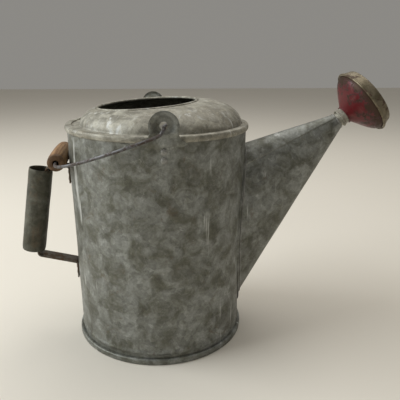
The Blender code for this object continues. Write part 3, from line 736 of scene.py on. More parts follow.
@dataclass(frozen=True)
class WornPaint:
    """Old red paint that is chalky near the neck and worn to brown metal towards the edge."""

    name: str
    place: Matrix
    depth: float
    fresh: Colour = (0.105, 0.004, 0.007)
    chalky: Colour = (0.150, 0.042, 0.036)
    bare: Colour = (0.062, 0.034, 0.021)
    black: Colour = (0.022, 0.014, 0.010)

    def make(self) -> bpy.types.Material:
        """The material."""
        mixing = Recipe(self.name, self.place)
        along = mixing.sum("DIVIDE", mixing.split()[2], self.depth)
        cloud = mixing.noise(70.0, 6.0, 0.65, 0.6)
        chalk = mixing.limits(mixing.sum("ADD", cloud, mixing.sum("MULTIPLY", along, -0.10)), 0.46, 0.60)
        body = mixing.mix(mixing.sum("MULTIPLY", chalk, 0.65), self.fresh, self.chalky)
        wear = mixing.sum("ADD", mixing.noise(95.0, 8.0, 0.75, 0.4), mixing.sum("MULTIPLY", along, 0.34))
        worn = mixing.limits(wear, 0.735, 0.775)
        body = mixing.mix(worn, body, self.bare)
        rim = mixing.limits(wear, 0.70, 0.735)
        edge = mixing.sum("MULTIPLY", rim, mixing.sum("SUBTRACT", 1.0, worn))
        body = mixing.mix(mixing.sum("MULTIPLY", edge, 0.8), body, self.black)
        specks = mixing.limits(mixing.noise(420.0, 4.0, 0.7), 0.63, 0.67)
        body = mixing.mix(mixing.sum("MULTIPLY", specks, 0.7), body, self.black)
        mixing.raise_by(mixing.sum("SUBTRACT", 1.0, worn), 0.00012)
        mixing.raise_by(cloud, 0.0002)
        rough = mixing.sum("ADD", mixing.grey(chalk, 0.42, 0.66), mixing.sum("MULTIPLY", worn, 0.12))
        return mixing.done(body, rough, mixing.grey(worn, 0.0, 0.55))


@dataclass(frozen=True)
class Tarnish:
    """Brass or tinned sheet gone olive and brown, with pale areas and dark patches."""

    name: str
    place: Matrix
    pale: Colour = (0.22, 0.185, 0.125)
    olive: Colour = (0.115, 0.095, 0.055)
    brown: Colour = (0.065, 0.032, 0.018)

    def make(self) -> bpy.types.Material:
        """The material."""
        mixing = Recipe(self.name, self.place)
        cloud = mixing.noise(80.0, 7.0, 0.7, 0.8)
        body = mixing.mix(mixing.limits(cloud, 0.35, 0.62), self.olive, self.pale)
        patch = mixing.limits(mixing.noise(130.0, 5.0, 0.65, 0.5), 0.52, 0.60)
        body = mixing.mix(mixing.sum("MULTIPLY", patch, 0.85), body, self.brown)
        fine = mixing.noise(800.0, 3.0, 0.7)
        body = mixing.mix(1.0, body, mixing.grey(fine, 0.75, 1.25), "MULTIPLY")
        mixing.raise_by(cloud, 0.0002)
        mixing.raise_by(fine, 0.00005)
        return mixing.done(body, mixing.grey(patch, 0.44, 0.66), mixing.grey(patch, 0.65, 0.25))


@dataclass(frozen=True)
class PlainGround:
    """The pale floor."""

    name: str = "pale_ground"
    colour: Colour = (0.80, 0.755, 0.67)

    def make(self) -> bpy.types.Material:
        """The material."""
        mixing = Recipe(self.name)
        tone = mixing.mix(mixing.noise(3.0, 2.0), self.colour, tuple(c * 0.97 for c in self.colour))
        return mixing.done(tone, 0.6, 0.0, 0.3)


# ---------------------------------------------------------------- places


@dataclass(frozen=True)
class Datum:
    """Places that several sub-assemblies share, read from the frame."""

    taper: float = 0.0043  # how much narrower the wall is at its foot
    spout_angle: float = 38.3  # degrees over the horizontal
    rose_standoff: float = 0.0050  # cone's tip to the socket's mouth
    nozzle_middle: float = 0.0035  # cone's tip to the middle of the nozzle tube

    @property
    def axis(self) -> Vector:
        """The body's own axis, on the ground."""
        low, high = node_box("body_wall")
        return Vector(((low.x + high.x) / 2, 0, 0))

    @property
    def wall_top(self) -> float:
        """Height of the wall's top edge."""
        return node_box("body_wall")[1].z

    @property
    def wall_bottom(self) -> float:
        """Height of the wall's bottom edge."""
        return node_box("body_wall")[0].z

    @property
    def top_radius(self) -> float:
        """Outside radius of the wall at its top edge."""
        return node_box("body_wall")[1].y

    @property
    def hoop_radius(self) -> float:
        """Outside radius of the rim hoop."""
        return node_box("rim_hoop")[1].y

    @property
    def hoop_bottom(self) -> float:
        """Height of the rim hoop's lower edge."""
        return node_box("rim_hoop")[0].z

    @property
    def hoop_top(self) -> float:
        """Height of the rim hoop's upper edge."""
        return node_box("rim_hoop")[1].z

    @property
    def spout_way(self) -> Vector:
        """The direction in which the spout points."""
        turn = math.radians(self.spout_angle)
        return Vector((math.cos(turn), 0, math.sin(turn)))

    def wall_radius(self, height: float) -> float:
        """Outside radius of the tapered wall at a height."""
        share = (self.wall_top - height) / (self.wall_top - self.wall_bottom)
        return self.top_radius - self.taper * share

    def upright(self, turn: float = 0.0) -> Matrix:
        """The body's frame, turned about its axis by an angle in radians."""
        return Matrix.Translation(self.axis) @ Matrix.Rotation(turn, 4, "Z")

    def outward(self, turn: float, height: float) -> Matrix:
        """A frame on the wall whose Z axis points out of it."""
        out = Matrix.Translation((self.wall_radius(height), 0, height))
        return self.upright(turn) @ out @ Matrix.Rotation(math.pi / 2, 4, "Y")

    def along_spout(self, ahead: float) -> Matrix:
        """A frame on the spout's axis, ahead of its tip, whose Z axis points out along it."""
        nozzle = node_box("spout_nozzle")
        tip = (nozzle[0] + nozzle[1]) / 2 - self.spout_way * self.nozzle_middle
        lean = Matrix.Rotation(math.pi / 2 - math.radians(self.spout_angle), 4, "Y")
        return Matrix.Translation(tip + self.spout_way * ahead) @ lean


# ---------------------------------------------------------------- body


@dataclass
class Barrel:
    """The can's body: wall, base, foot and rim hoop."""

    datum: Datum
    zinc: bpy.types.Material
    pale: bpy.types.Material
    rows: int = 30
    facets: int = 192
    swage_height: float = 0.0140  # middle of the small bead above the foot
    swage_half: float = 0.0022
    swage_stand: float = 0.0008
    seam_turn: float = 146.0  # degrees from the spout
    seam_half: float = 0.0036
    seam_stand: float = 0.0007
    dent_depth: float = 0.0022
    dent_size: float = 0.085
    strainer_rows: int = 7
    strainer_columns: int = 5
    strainer_pitch: float = 0.0125
    strainer_radius: float = 0.0035
    base_rings: tuple[float, ...] = (0.030, 0.055, 0.078)
    base_ring_half: float = 0.0030
    base_ring_rise: float = 0.0008
    base_corner: float = 0.0020
    foot_lip: float = 0.0070  # width of the ring that the can stands on
    foot_fold: float = 0.0010  # height of the lip's inner edge
    foot_round: float = 0.0018
    hoop_edge: float = 0.0004
    hoop_lip: float = 0.0050
    hoop_fold: float = 0.0010

    def wall(self, spout_middle: float) -> None:
        """Builds the wall with its swage, lock seam, dents and strainer holes.

        Args:
            spout_middle: Height of the middle of the spout's root.
        """
        bottom, top = self.datum.wall_bottom, self.datum.wall_top
        levels = [bottom + (top - bottom) * i / self.rows for i in range(self.rows + 1)]
        levels += [self.swage_height + self.swage_half * i / 4 for i in range(-4, 5)]
        profile = []
        for level in sorted(levels):
            away = (level - self.swage_height) / self.swage_half
            stand = self.swage_stand * max(0.0, 1.0 - away**2)
            profile.append((self.datum.wall_radius(level) + stand, level))
        wall = turned("wall_shell", profile, self.facets)
        middle = math.radians(self.seam_turn)
        with edit_mode(wall):
            pick(wall, Part.FACE, lambda p: self.on_seam(p, middle))
            bpy.ops.mesh.extrude_region_shrink_fatten(
                TRANSFORM_OT_shrink_fatten={"value": self.seam_stand}
            )
        free = weigh(wall, "free", lambda p: self.freedom(p.z))
        dent(wall, self.dent_depth, self.dent_size, free, 2)
        thicken(wall, SHEET)
        put(wall, self.datum.upright())
        cutters = []
        for i in range(self.strainer_rows):
            height = spout_middle + (i - (self.strainer_rows - 1) / 2) * self.strainer_pitch
            columns = self.strainer_columns - i % 2
            for j in range(columns):
                along = (j - (columns - 1) / 2) * self.strainer_pitch
                place = self.datum.outward(along / self.datum.wall_radius(height), height)
                cutters.append(drill("strainer_drill", place, self.strainer_radius, 0.012))
        combine(wall, joined(cutters))
        hand_over(wall, Body.CAN, Slot.ZINC, self.zinc, "body_wall")

    def on_seam(self, point: Vector, middle: float) -> bool:
        """Whether a face of the wall is on the lock seam, clear of the hoop and the foot."""
        away = math.atan2(point.y, point.x) - middle
        inside = self.datum.wall_bottom + 0.0065 < point.z < self.datum.hoop_bottom - 0.001
        return inside and abs(away) * self.datum.top_radius < self.seam_half

    def freedom(self, height: float) -> float:
        """How freely the wall may dent at a height: not at all where other pieces grip it."""
        low = (height - self.datum.wall_bottom - 0.012) / 0.030
        high = (self.datum.hoop_bottom - 0.004 - height) / 0.030
        share = min(max(min(low, high), 0.0), 1.0)
        return share * share * (3 - 2 * share)

    def base(self) -> None:
        """Builds the base plate with its pressed rings and turned-down edge."""
        low, high = node_box("base_plate")
        edge, corner = high.y, self.base_corner
        level = high.z
        flat = level - self.base_ring_rise
        profile = [(0.0, flat), (0.012, flat)]
        for ring in self.base_rings:
            profile.append((ring - self.base_ring_half, flat))
            profile.append((ring, level))
            profile.append((ring + self.base_ring_half, flat))
        profile += bead((edge - corner, flat - corner), corner, 90, 0, 5)
        profile.append((edge, low.z))
        base = turned("base_disc", profile, 128)
        thicken(base, SHEET)
        put(base, self.datum.upright())
        hand_over(base, Body.CAN, Slot.ZINC, self.zinc, "base_plate")

    def foot(self) -> None:
        """Builds the rolled foot ring."""
        low, high = node_box("foot_ring")
        outer = high.y
        inside = self.datum.wall_radius(high.z) + GAP
        round_off = (outer - inside) * 0.42
        lip, fold, top_round = outer - self.foot_lip, self.foot_fold, self.foot_round
        profile = [(lip, low.z), (outer - round_off, low.z)]
        profile += bead((outer - round_off, low.z + round_off), round_off, -90, 0, 5)[1:]
        profile.append((outer, high.z * 0.55))
        profile += bead((outer - top_round, high.z - top_round), top_round, 0, 90, 5)
        profile += [(inside, high.z), (inside, fold), (lip, fold)]
        profile.append(profile[0])
        foot = turned("foot_roll", profile, 160)
        put(foot, self.datum.upright())
        hand_over(foot, Body.CAN, Slot.ZINC, self.zinc, "foot_ring")

    def hoop(self) -> None:
        """Builds the half-round hoop that grips the wall's top edge."""
        low, high = node_box("rim_hoop")
        inside = self.datum.top_radius + GAP
        stand = high.y - inside
        middle = (low.z + high.z) / 2
        half = (high.z - low.z) / 2
        profile = [(inside, low.z)]
        for i in range(13):
            turn = math.pi * (i / 12 - 0.5)
            out = inside + self.hoop_edge + (stand - self.hoop_edge) * math.cos(turn)
            profile.append((out, middle + half * math.sin(turn)))
        lip, under = inside - self.hoop_lip, high.z - self.hoop_fold
        profile += [(lip, high.z), (lip - GAP, high.z - self.hoop_fold / 2)]
        profile += [(lip, under), (inside, under), (inside, low.z)]
        hoop = turned("rim_band", profile, 192)
        put(hoop, self.datum.upright())
        hand_over(hoop, Body.CAN, Slot.PALE, self.pale, "rim_hoop")


@dataclass
class Breast:
    """The domed top with its off-centre filling mouth."""

    datum: Datum
    pale: bpy.types.Material
    foot_radius: float = 0.0955
    foot_shift: float = 0.0045  # towards the spout
    rise_steps: int = 12
    facets: int = 128
    mouth_radius: float = 0.0570
    bead_radius: float = 0.0015
    foot_round: float = 0.0012  # rounding of the corner where the dome rises
    dent_depth: float = 0.0010
    dent_size: float = 0.050

    def mouth_place(self) -> Matrix:
        """The mouth's frame, read from its bead."""
        low, high = node_box("mouth_bead")
        width = high.x - low.x - 2 * self.bead_radius
        outer = 2 * (self.mouth_radius + self.bead_radius)
        tilt = math.acos(min(1.0, width / outer))
        return Matrix.Translation((low + high) / 2) @ Matrix.Rotation(-tilt, 4, "Y")

    def dome(self) -> None:
        """Builds the ledge inside the hoop and the dome that rises from it to the mouth."""
        place = self.mouth_place()
        tilt = place.to_euler().y
        axis = self.datum.axis
        level = node_box("breast")[0].z + SHEET + 0.0001
        top = place.to_translation()
        hem = self.mouth_radius + 2 * self.bead_radius + GAP
        foot = axis + Vector((self.foot_shift, 0, level))
        edge = self.datum.top_radius
        rings = [Ring(axis + Vector((0, 0, level)), edge, edge)]
        rings.append(Ring(foot, self.foot_radius, self.foot_radius))
        for i in range(1, self.rise_steps + 1):
            quarter = math.pi / 2 * i / self.rise_steps
            inward, up = 1 - math.cos(quarter), math.sin(quarter)
            radius = self.foot_radius + (hem - self.foot_radius) * inward
            middle = foot.lerp(top, inward)
            middle.z = foot.z + (top.z - foot.z) * up
            rings.append(Ring(middle, radius, radius, tilt * up))
        dome = skinned("breast_dome", rings, self.facets)
        with edit_mode(dome):
            pick(dome, Part.EDGE, lambda p: self.at_foot(p, foot))
            bpy.ops.mesh.bevel(offset=self.foot_round, segments=3, affect="EDGES")
        free = weigh(dome, "free", lambda p: min(1.0, max(0.0, (p.z - level - 0.003) / 0.008)))
        dent(dome, self.dent_depth, self.dent_size, free, 2)
        thicken(dome, SHEET)
        hand_over(dome, Body.CAN, Slot.PALE, self.pale, "breast")

    def at_foot(self, point: Vector, foot: Vector) -> bool:
        """Whether an edge lies along the circle where the dome rises."""
        out = math.hypot(point.x - foot.x, point.y - foot.y)
        return abs(point.z - foot.z) < 0.0001 and abs(out - self.foot_radius) < 0.0002

    def bead(self) -> None:
        """Builds the rolled bead of the mouth."""
        middle = self.mouth_radius + self.bead_radius
        section = bead((middle, 0.0), self.bead_radius, 0, 360, 12)
        ring = turned("mouth_roll", section, 128)
        put(ring, self.mouth_place())
        hand_over(ring, Body.CAN, Slot.PALE, self.pale, "mouth_bead")


# ---------------------------------------------------------------- spout


@dataclass
class Spout:
    """The funnel spout: lapped cone, flange, solder and nozzle tube."""

    datum: Datum
    zinc: bpy.types.Material
    pale: bpy.types.Material
    solder: bpy.types.Material
    tip_radius: float = 0.0099
    flare_deep: float = 21.5  # degrees, up and down
    flare_wide: float = 10.5  # degrees, across
    flange_width: float = 0.0050
    lap_turn: float = 50.0  # degrees from the top, on the near side
    lap_stand: float = 0.0011
    lap_fade: float = 75.0  # degrees over which the outer sheet settles down
    lap_edge: float = 0.0007  # width of the step at the lap's edge
    dent_depth: float = 0.0010
    dent_size: float = 0.045
    root_bead: float = 0.0013  # radius of the solder along the root
    root_lift: float = 0.0016  # its middle over the wall
    tip_bead: float = 0.0011  # radius of the solder round the tip
    facets: int = 72
    length: float = 0.262
    nozzle_radius: float = 0.0088

    def half_sizes(self, back: float, grow: float = 0.0) -> Point:
        """Half depth and half width of the cone at a distance back from its tip."""
        deep = self.tip_radius + back * math.tan(math.radians(self.flare_deep)) + grow
        wide = self.tip_radius + back * math.tan(math.radians(self.flare_wide)) + grow
        return deep, wide

    def rings(self, grow: float, start: float = 0.0) -> list[Ring]:
        """The cone's rings from its tip back into the body.

        Args:
            grow: How much bigger than the cone they are.
            start: Distance of the first ring back from the tip.

        Returns:
            Rings whose depth lies across the spout's axis.
        """
        tip = self.datum.along_spout(0.0).to_translation()
        lean = math.pi / 2 - math.radians(self.datum.spout_angle)
        rings = []
        for i in range(15):
            back = start + (self.length - start) * i / 14
            deep, wide = self.half_sizes(back, grow)
            rings.append(Ring(tip - self.datum.spout_way * back, deep, wide, lean))
        return rings

    def skin_point(self, turn: float, back: float) -> Vector:
        """A point of the cone's skin; turn 0 is the top and a quarter turn is the far side."""
        deep, wide = self.half_sizes(back)
        across = Vector((0, 1, 0))
        up = self.datum.spout_way.cross(across)
        tip = self.datum.along_spout(0.0).to_translation()
        middle = tip - self.datum.spout_way * back
        return middle + up * deep * math.cos(turn) + across * wide * math.sin(turn)

    def root_point(self, turn: float, lift: float) -> Vector:
        """Where a line of the cone's skin comes within lift of the wall.

        Args:
            turn: Which line of the skin, in radians from the top.
            lift: Distance outside the wall.

        Returns:
            The point.
        """
        near, far = 0.0, 0.6
        for _ in range(40):
            back = (near + far) / 2
            point = self.skin_point(turn, back)
            out = (point - self.datum.axis).xy.length
            if point.x > self.datum.axis.x and out > self.datum.wall_radius(point.z) + lift:
                near = back
            else:
                far = back
        return self.skin_point(turn, (near + far) / 2)

    def middle(self) -> float:
        """Height of the middle of the spout's root."""
        return (self.root_point(0.0, 0.0).z + self.root_point(math.pi, 0.0).z) / 2

    def azimuth(self, point: Vector) -> float:
        """Degrees of a point round the cone, from the top towards the near side."""
        local = self.datum.along_spout(0.0).inverted() @ point
        back = max(-local.z, 0.0)
        deep, wide = self.half_sizes(back)
        return math.degrees(math.atan2(-local.y / wide, -local.x / deep))

    def plug(self, name: str, grow: float, low: float, high: float) -> Item:
        """A solid like the wall's outside, bigger by grow, between two heights."""
        profile = [(0.0, low)]
        profile += [(self.datum.wall_radius(z) + grow, z) for z in (low, high)]
        profile.append((0.0, high))
        item = turned(name, profile, 192)
        put(item, self.datum.upright())
        return item

    def cone(self) -> None:
        """Builds the cone with its lapped seam, cut to sit on the wall."""
        cone = skinned("spout_skin", self.rings(0.0), self.facets)
        with edit_mode(cone):
            pick(cone, Part.EDGE, self.on_lap)
            bpy.ops.mesh.bevel(offset=self.lap_edge, segments=1, affect="EDGES")
        lap = weigh(cone, "lap", self.lap_share)
        shape_with(cone, "DISPLACE", strength=self.lap_stand, mid_level=0.0, vertex_group=lap)
        dent(cone, self.dent_depth, self.dent_size, grain=2)
        thicken(cone, SHEET)
        wall = self.plug("wall_plug", GAP, -0.02, 0.30)
        combine(cone, wall)
        hand_over(cone, Body.CAN, Slot.ZINC, self.zinc, "spout_cone", angle=28.0)

    def on_lap(self, point: Vector) -> bool:
        """Whether a lengthwise edge of the cone lies on the lap's line."""
        step = 360 / self.facets
        snapped = round(self.lap_turn / step) * step
        return abs(self.azimuth(point) - snapped) < step * 0.2

    def lap_share(self, point: Vector) -> float:
        """How far the outer sheet stands over the inner one at a point of the cone."""
        step = 360 / self.facets
        snapped = round(self.lap_turn / step) * step
        past = snapped - self.azimuth(point)
        if past < 0 or past > self.lap_fade:
            return 0.0
        return (1 - past / self.lap_fade) ** 1.5

    def flange(self) -> None:
        """Builds the flange that follows the cone's root on the wall."""
        flange = skinned("spout_flange", self.rings(self.flange_width, 0.02), self.facets, True)
        ring = self.plug("flange_ring", GAP + SHEET, -0.01, 0.29)
        combine(flange, ring, "INTERSECT")
        combine(flange, self.plug("flange_bed", GAP, -0.02, 0.30))
        combine(flange, skinned("cone_core", self.rings(-SHEET, 0.01), self.facets, True))
        hand_over(flange, Body.CAN, Slot.ZINC, self.zinc)

    def seams(self) -> None:
        """Builds the lumpy solder along the root and round the tip."""
        turns = [2 * math.pi * i / 120 for i in range(121)]
        root = [self.root_point(turn, self.root_lift) for turn in turns]
        bead_line = wire("solder_root", root, self.root_bead, 2)
        dent(bead_line, 0.0012, 0.006)
        hand_over(bead_line, Body.CAN, Slot.ZINC, self.solder)
        section = bead((self.tip_radius - GAP, 0.0), self.tip_bead, -60, 200, 8)
        tip = turned("solder_tip", section, 64)
        dent(tip, 0.0007, 0.006)
        put(tip, self.datum.along_spout(0.0002))
        hand_over(tip, Body.CAN, Slot.PALE, self.solder)

    def nozzle(self) -> None:
        """Builds the tube that the rose slips on."""
        inner = self.nozzle_radius - SHEET
        section = [(self.nozzle_radius, -0.0120), (self.nozzle_radius, 0.0182)]
        section += bead((inner + SHEET / 2, 0.0185), SHEET / 2, 0, 180, 6)
        section += [(inner, -0.0120), (self.nozzle_radius, -0.0120)]
        tube = turned("nozzle_tube", section, 64)
        put(tube, self.datum.along_spout(0.0))
        hand_over(tube, Body.CAN, Slot.PALE, self.pale, "spout_nozzle")


# ---------------------------------------------------------------- rose


@dataclass
class Rose:
    """The sprinkler rose: socket, bell, face cap and crimp."""

    datum: Datum
    pale: bpy.types.Material
    red: bpy.types.Material
    cap: bpy.types.Material
    nozzle_radius: float = 0.0088
    slip: float = 0.0003
    grip: float = 0.0140
    neck_start: float = 0.0070
    bell_radius: float = 0.0402
    bell_depth: float = 0.0340
    sheet: float = 0.0008
    lap: float = 0.0012
    skirt: float = 0.0135
    straight: float = 0.0040
    face_radius: float = 0.0385
    face_dome: float = 0.0055
    corner: float = 0.0030
    hole_radius: float = 0.0010
    hole_rings: int = 4
    hole_pitch: float = 0.0078
    crimp_half: float = 0.0017
    crimp_stand: float = 0.0014
    crimp_edge: float = 0.0003
    facets: int = 112

    def socket(self) -> None:
        """Builds the socket with its flared lip and inner stop."""
        bore = self.nozzle_radius + self.slip
        outer = bore + 0.001
        stop = self.grip + GAP
        section = bead((outer + 0.0007, 0.0007), 0.0007, 0, -110, 5)
        section += [(bore + 0.0004, 0.0007), (bore, 0.0020), (bore, stop)]
        section += [(self.nozzle_radius - 0.001, stop), (self.nozzle_radius - 0.001, stop + 0.001)]
        section += [(outer, stop + 0.001), (outer, 0.0042), (outer + 0.0004, 0.0022), section[0]]
        item = turned("socket_collar", section, 64)
        dent(item, 0.0003, 0.01)
        self.finish(item, Slot.PALE, self.pale, "rose_socket")

    def finish(self, item: Item, slot: Slot, finish: bpy.types.Material, *nodes: str) -> None:
        """Puts a piece on the spout's axis and hands it over."""
        put(item, self.datum.along_spout(self.datum.rose_standoff))
        hand_over(item, Body.ROSE, slot, finish, *nodes)

    def bell_line(self) -> list[Point]:
        """The bell's outer line, from its neck over the flare to its edge."""
        neck = self.nozzle_radius + self.slip + 0.0023
        start = self.neck_start + 0.0020
        line = [(neck, self.neck_start), (neck, start)]
        for i in range(1, 25):
            share = i / 24
            early = math.sin(share * math.pi / 2)
            late = share**2 * (3 - 2 * share)
            swell = (0.62 * early + 0.38 * late) * (1 - 0.25 * (1 - share) ** 2)
            height = start + (self.bell_depth - start) * share**1.15
            line.append((neck + (self.bell_radius - neck) * swell, height))
        return line

    def bell(self) -> None:
        """Builds the flared bell."""
        item = turned("rose_horn", self.bell_line(), self.facets)
        free = weigh(item, "free", lambda p: min(1.0, max(0.0, (self.bell_depth - 0.004 - p.z) / 0.008)))
        dent(item, 0.0010, 0.025, free)
        thicken(item, self.sheet * 0.9)
        self.finish(item, Slot.RED, self.red, "rose_bell")

    def face(self) -> None:
        """Builds the cap with its skirt, domed face and spray holes."""
        skirt = self.bell_radius + 0.9 * GAP + self.sheet
        start = self.bell_depth - self.lap
        top = start + self.skirt
        line = [(skirt, start), (skirt, start + self.straight)]
        line += bead((self.face_radius - self.corner, top - self.corner), self.corner, 0, 90, 6)
        edge = self.face_radius - self.corner
        for i in range(1, 13):
            radius = edge * (1 - i / 12)
            line.append((radius, top - 0.0001 + self.face_dome * (1 - (radius / edge) ** 2)))
        item = turned("rose_plate", line, self.facets)
        thicken(item, self.sheet * 0.9)
        cutters = []
        lips = []
        for ring in range(self.hole_rings + 1):
            count = max(1, 6 * ring)
            out = ring * self.hole_pitch
            level = top - 0.0004 + self.face_dome * (1 - (out / edge) ** 2)
            lean = math.atan(2 * self.face_dome * out / edge**2)
            for i in range(count):
                turn = 2 * math.pi * (i + 0.25 * ring) / count
                place = Matrix.Rotation(turn, 4, "Z") @ Matrix.Translation((out, 0, level))
                place = place @ Matrix.Rotation(lean, 4, "Y")
                cutters.append(drill("spray_drill", place, self.hole_radius, 0.006, 12))
                lips.append(place)
        combine(item, joined(cutters))
        self.finish(item, Slot.CAP, self.cap, "rose_face")
        self.lips(lips)

    def lips(self, places: list[Matrix]) -> None:
        """Builds the small raised lip that punching left round each spray hole.

        Args:
            places: Each hole's place on the face.
        """
        section = bead((self.hole_radius + 0.00035, -0.0001), 0.00035, 0, 360, 6)
        first = turned("spray_lips", section, 12)
        copies = [first]
        for _ in places[1:]:
            copy = first.copy()
            copy.data = first.data.copy()
            bpy.context.collection.objects.link(copy)
            copies.append(copy)
        for copy, place in zip(copies, places):
            put(copy, place)
        self.finish(joined(copies), Slot.CAP, self.cap)

    def crimp(self) -> None:
        """Builds the crimped band where bell and cap meet."""
        inside = self.bell_radius + 2 * GAP + self.sheet
        half, edge = self.crimp_half, self.crimp_edge
        section = [(inside, self.bell_depth - half)]
        for i in range(9):
            turn = math.pi * (i / 8 - 0.5)
            out = inside + edge + (self.crimp_stand - edge) * math.cos(turn)
            section.append((out, self.bell_depth + half * math.sin(turn)))
        section += [(inside, self.bell_depth + half), section[0]]
        item = turned("crimp_band", section, self.facets)
        self.finish(item, Slot.CAP, self.cap, "rose_crimp")


# ---------------------------------------------------------------- ears


@dataclass
class Ears:
    """The two pressed ears that carry the bail."""

    datum: Datum
    zinc: bpy.types.Material
    sheet: float = 0.0014
    eye_radius: float = 0.0152
    hole_radius: float = 0.0042
    dish: float = 0.0042
    wing_half: float = 0.0222
    tongue_half: float = 0.0070
    tongue_round: float = 0.0045
    edge_round: float = 0.0003
    columns: int = 18
    rows: int = 16

    def outline(self) -> list[Point]:
        """(height, half width) of the ear from its tongue's end up to the eye's top."""
        low, high = node_box("ear_near")
        eye = high.z - self.eye_radius
        hoop = self.datum.hoop_bottom
        tongue = self.tongue_half
        line = []
        for i in range(5):
            turn = math.pi / 2 * i / 4
            half = tongue * (0.55 + 0.45 * math.sin(turn))
            line.append((low.z + self.tongue_round * (1 - math.cos(turn)), half))
        line += [(hoop - 0.0090, tongue), (hoop - 0.0060, tongue + 0.0008)]
        line += [(hoop - 0.0040, tongue + 0.0040), (hoop - 0.0028, self.wing_half - 0.0030)]
        line += [(hoop - 0.0016, self.wing_half - 0.0006), (hoop + 0.0004, self.wing_half)]
        line += [(hoop + 0.0022, self.wing_half - 0.0018), (hoop + 0.0044, self.wing_half - 0.0052)]
        line += [(hoop + 0.0066, self.eye_radius + 0.0008), (hoop + 0.0095, self.eye_radius - 0.0006)]
        start = math.asin((hoop + 0.0115 - eye) / self.eye_radius)
        for i in range(self.rows + 1):
            turn = start + (math.pi / 2 - start) * i / self.rows
            half = max(self.eye_radius * math.cos(turn), 0.0008)
            line.append((eye + self.eye_radius * math.sin(turn), half))
        return line

    def former(self) -> Item:
        """A turned former with the wall, the hoop's bulge and the upright above it."""
        inner = self.datum.hoop_radius + GAP
        start, end = self.datum.hoop_bottom - 0.0050, self.datum.hoop_bottom - 0.0008
        line = [(self.datum.wall_radius(0.20) + GAP, 0.20)]
        for i in range(9):
            height = start + (end - start) * i / 8
            base = self.datum.wall_radius(height) + GAP
            share = i / 8
            line.append((base + (inner - base) * share * share * (3 - 2 * share), height))
        line.append((inner, 0.32))
        item = turned("ear_former", line, 192)
        put(item, self.datum.upright())
        return item

    def dish_share(self, point: Vector, eye: float) -> float:
        """How far the dish stands out at a point, as a share of its depth.

        Args:
            point: A place on the ear.
            eye: Height of the eye's middle.

        Returns:
            From 0 on the floor to 1 on the rim.
        """
        away = math.hypot(point.x - self.datum.axis.x, point.z - eye) / self.eye_radius
        rise = min(max((away - 0.50) / 0.38, 0.0), 1.0)
        clear = min(max((point.z - self.datum.hoop_top) / 0.0040, 0.0), 1.0)
        return clear * rise * rise * (3 - 2 * rise)

    def blank(self, name: str) -> Item:
        """The flat ear, drawn row by row from its tongue upwards.

        Args:
            name: The ear's name.

        Returns:
            A flat sheet in front of the near side.
        """
        line = self.outline()
        front = -self.datum.hoop_radius - 0.02
        level, half = line[0]
        item = start_point(name)
        with edit_mode(item):
            row = []
            for i in range(self.columns + 1):
                share = math.sin(math.pi / 2 * (2 * i / self.columns - 1))
                row.append(Vector((self.datum.axis.x + half * share, front, level)))
            draw_line(item, row)
            bpy.ops.mesh.select_all(action="SELECT")
            for (level, half), (above, wide) in zip(line, line[1:]):
                bpy.ops.mesh.extrude_region_move(
                    TRANSFORM_OT_translate={"value": (0, 0, above - level)}
                )
                centre = (self.datum.axis.x, front, above)
                bpy.ops.transform.resize(value=(wide / half, 1, 1), center_override=centre)
            bpy.ops.mesh.select_all(action="SELECT")
            bpy.ops.mesh.normals_make_consistent(inside=False)
        return item

    def build(self) -> None:
        """Builds the near ear, pressed over the former, and the far ear as its mirror image."""
        eye = node_box("ear_near")[1].z - self.eye_radius
        near = self.blank("near_ear")
        with edit_mode(near):
            bpy.ops.mesh.select_all(action="SELECT")
            shape = bmesh.from_edit_mesh(near.data)
            shape.faces.ensure_lookup_table()
            if shape.faces[0].normal.y > 0:
                bpy.ops.mesh.flip_normals()
        shape_with(
            near, "SHRINKWRAP", target=self.former(), wrap_method="PROJECT",
            use_project_y=True, use_positive_direction=True, use_negative_direction=False,
        )
        bpy.data.objects.remove(bpy.data.objects["ear_former"], do_unlink=True)
        dished = weigh(near, "dished", lambda p: self.dish_share(p, eye))
        shape_with(
            near, "DISPLACE", strength=-self.dish, mid_level=0.0, direction="Y", vertex_group=dished
        )
        thicken(near, self.sheet, 1.0)
        through = Matrix.Translation((self.datum.axis.x, -self.datum.hoop_radius, eye))
        through = through @ Matrix.Rotation(math.pi / 2, 4, "X")
        combine(near, drill("ear_drill", through, self.hole_radius, 0.02, 32))
        soften(near, self.edge_round)
        far = near.copy()
        far.data = near.data.copy()
        far.name = "far_ear"
        far.data.name = "far_ear"
        bpy.context.collection.objects.link(far)
        put(far, Matrix.Scale(-1, 4, Vector((0, 1, 0))))
        with edit_mode(far):
            bpy.ops.mesh.select_all(action="SELECT")
            bpy.ops.mesh.normals_make_consistent(inside=False)
        hand_over(near, Body.CAN, Slot.ZINC, self.zinc, "ear_near")
        hand_over(far, Body.CAN, Slot.ZINC, self.zinc, "ear_far")


# ---------------------------------------------------------------- bail


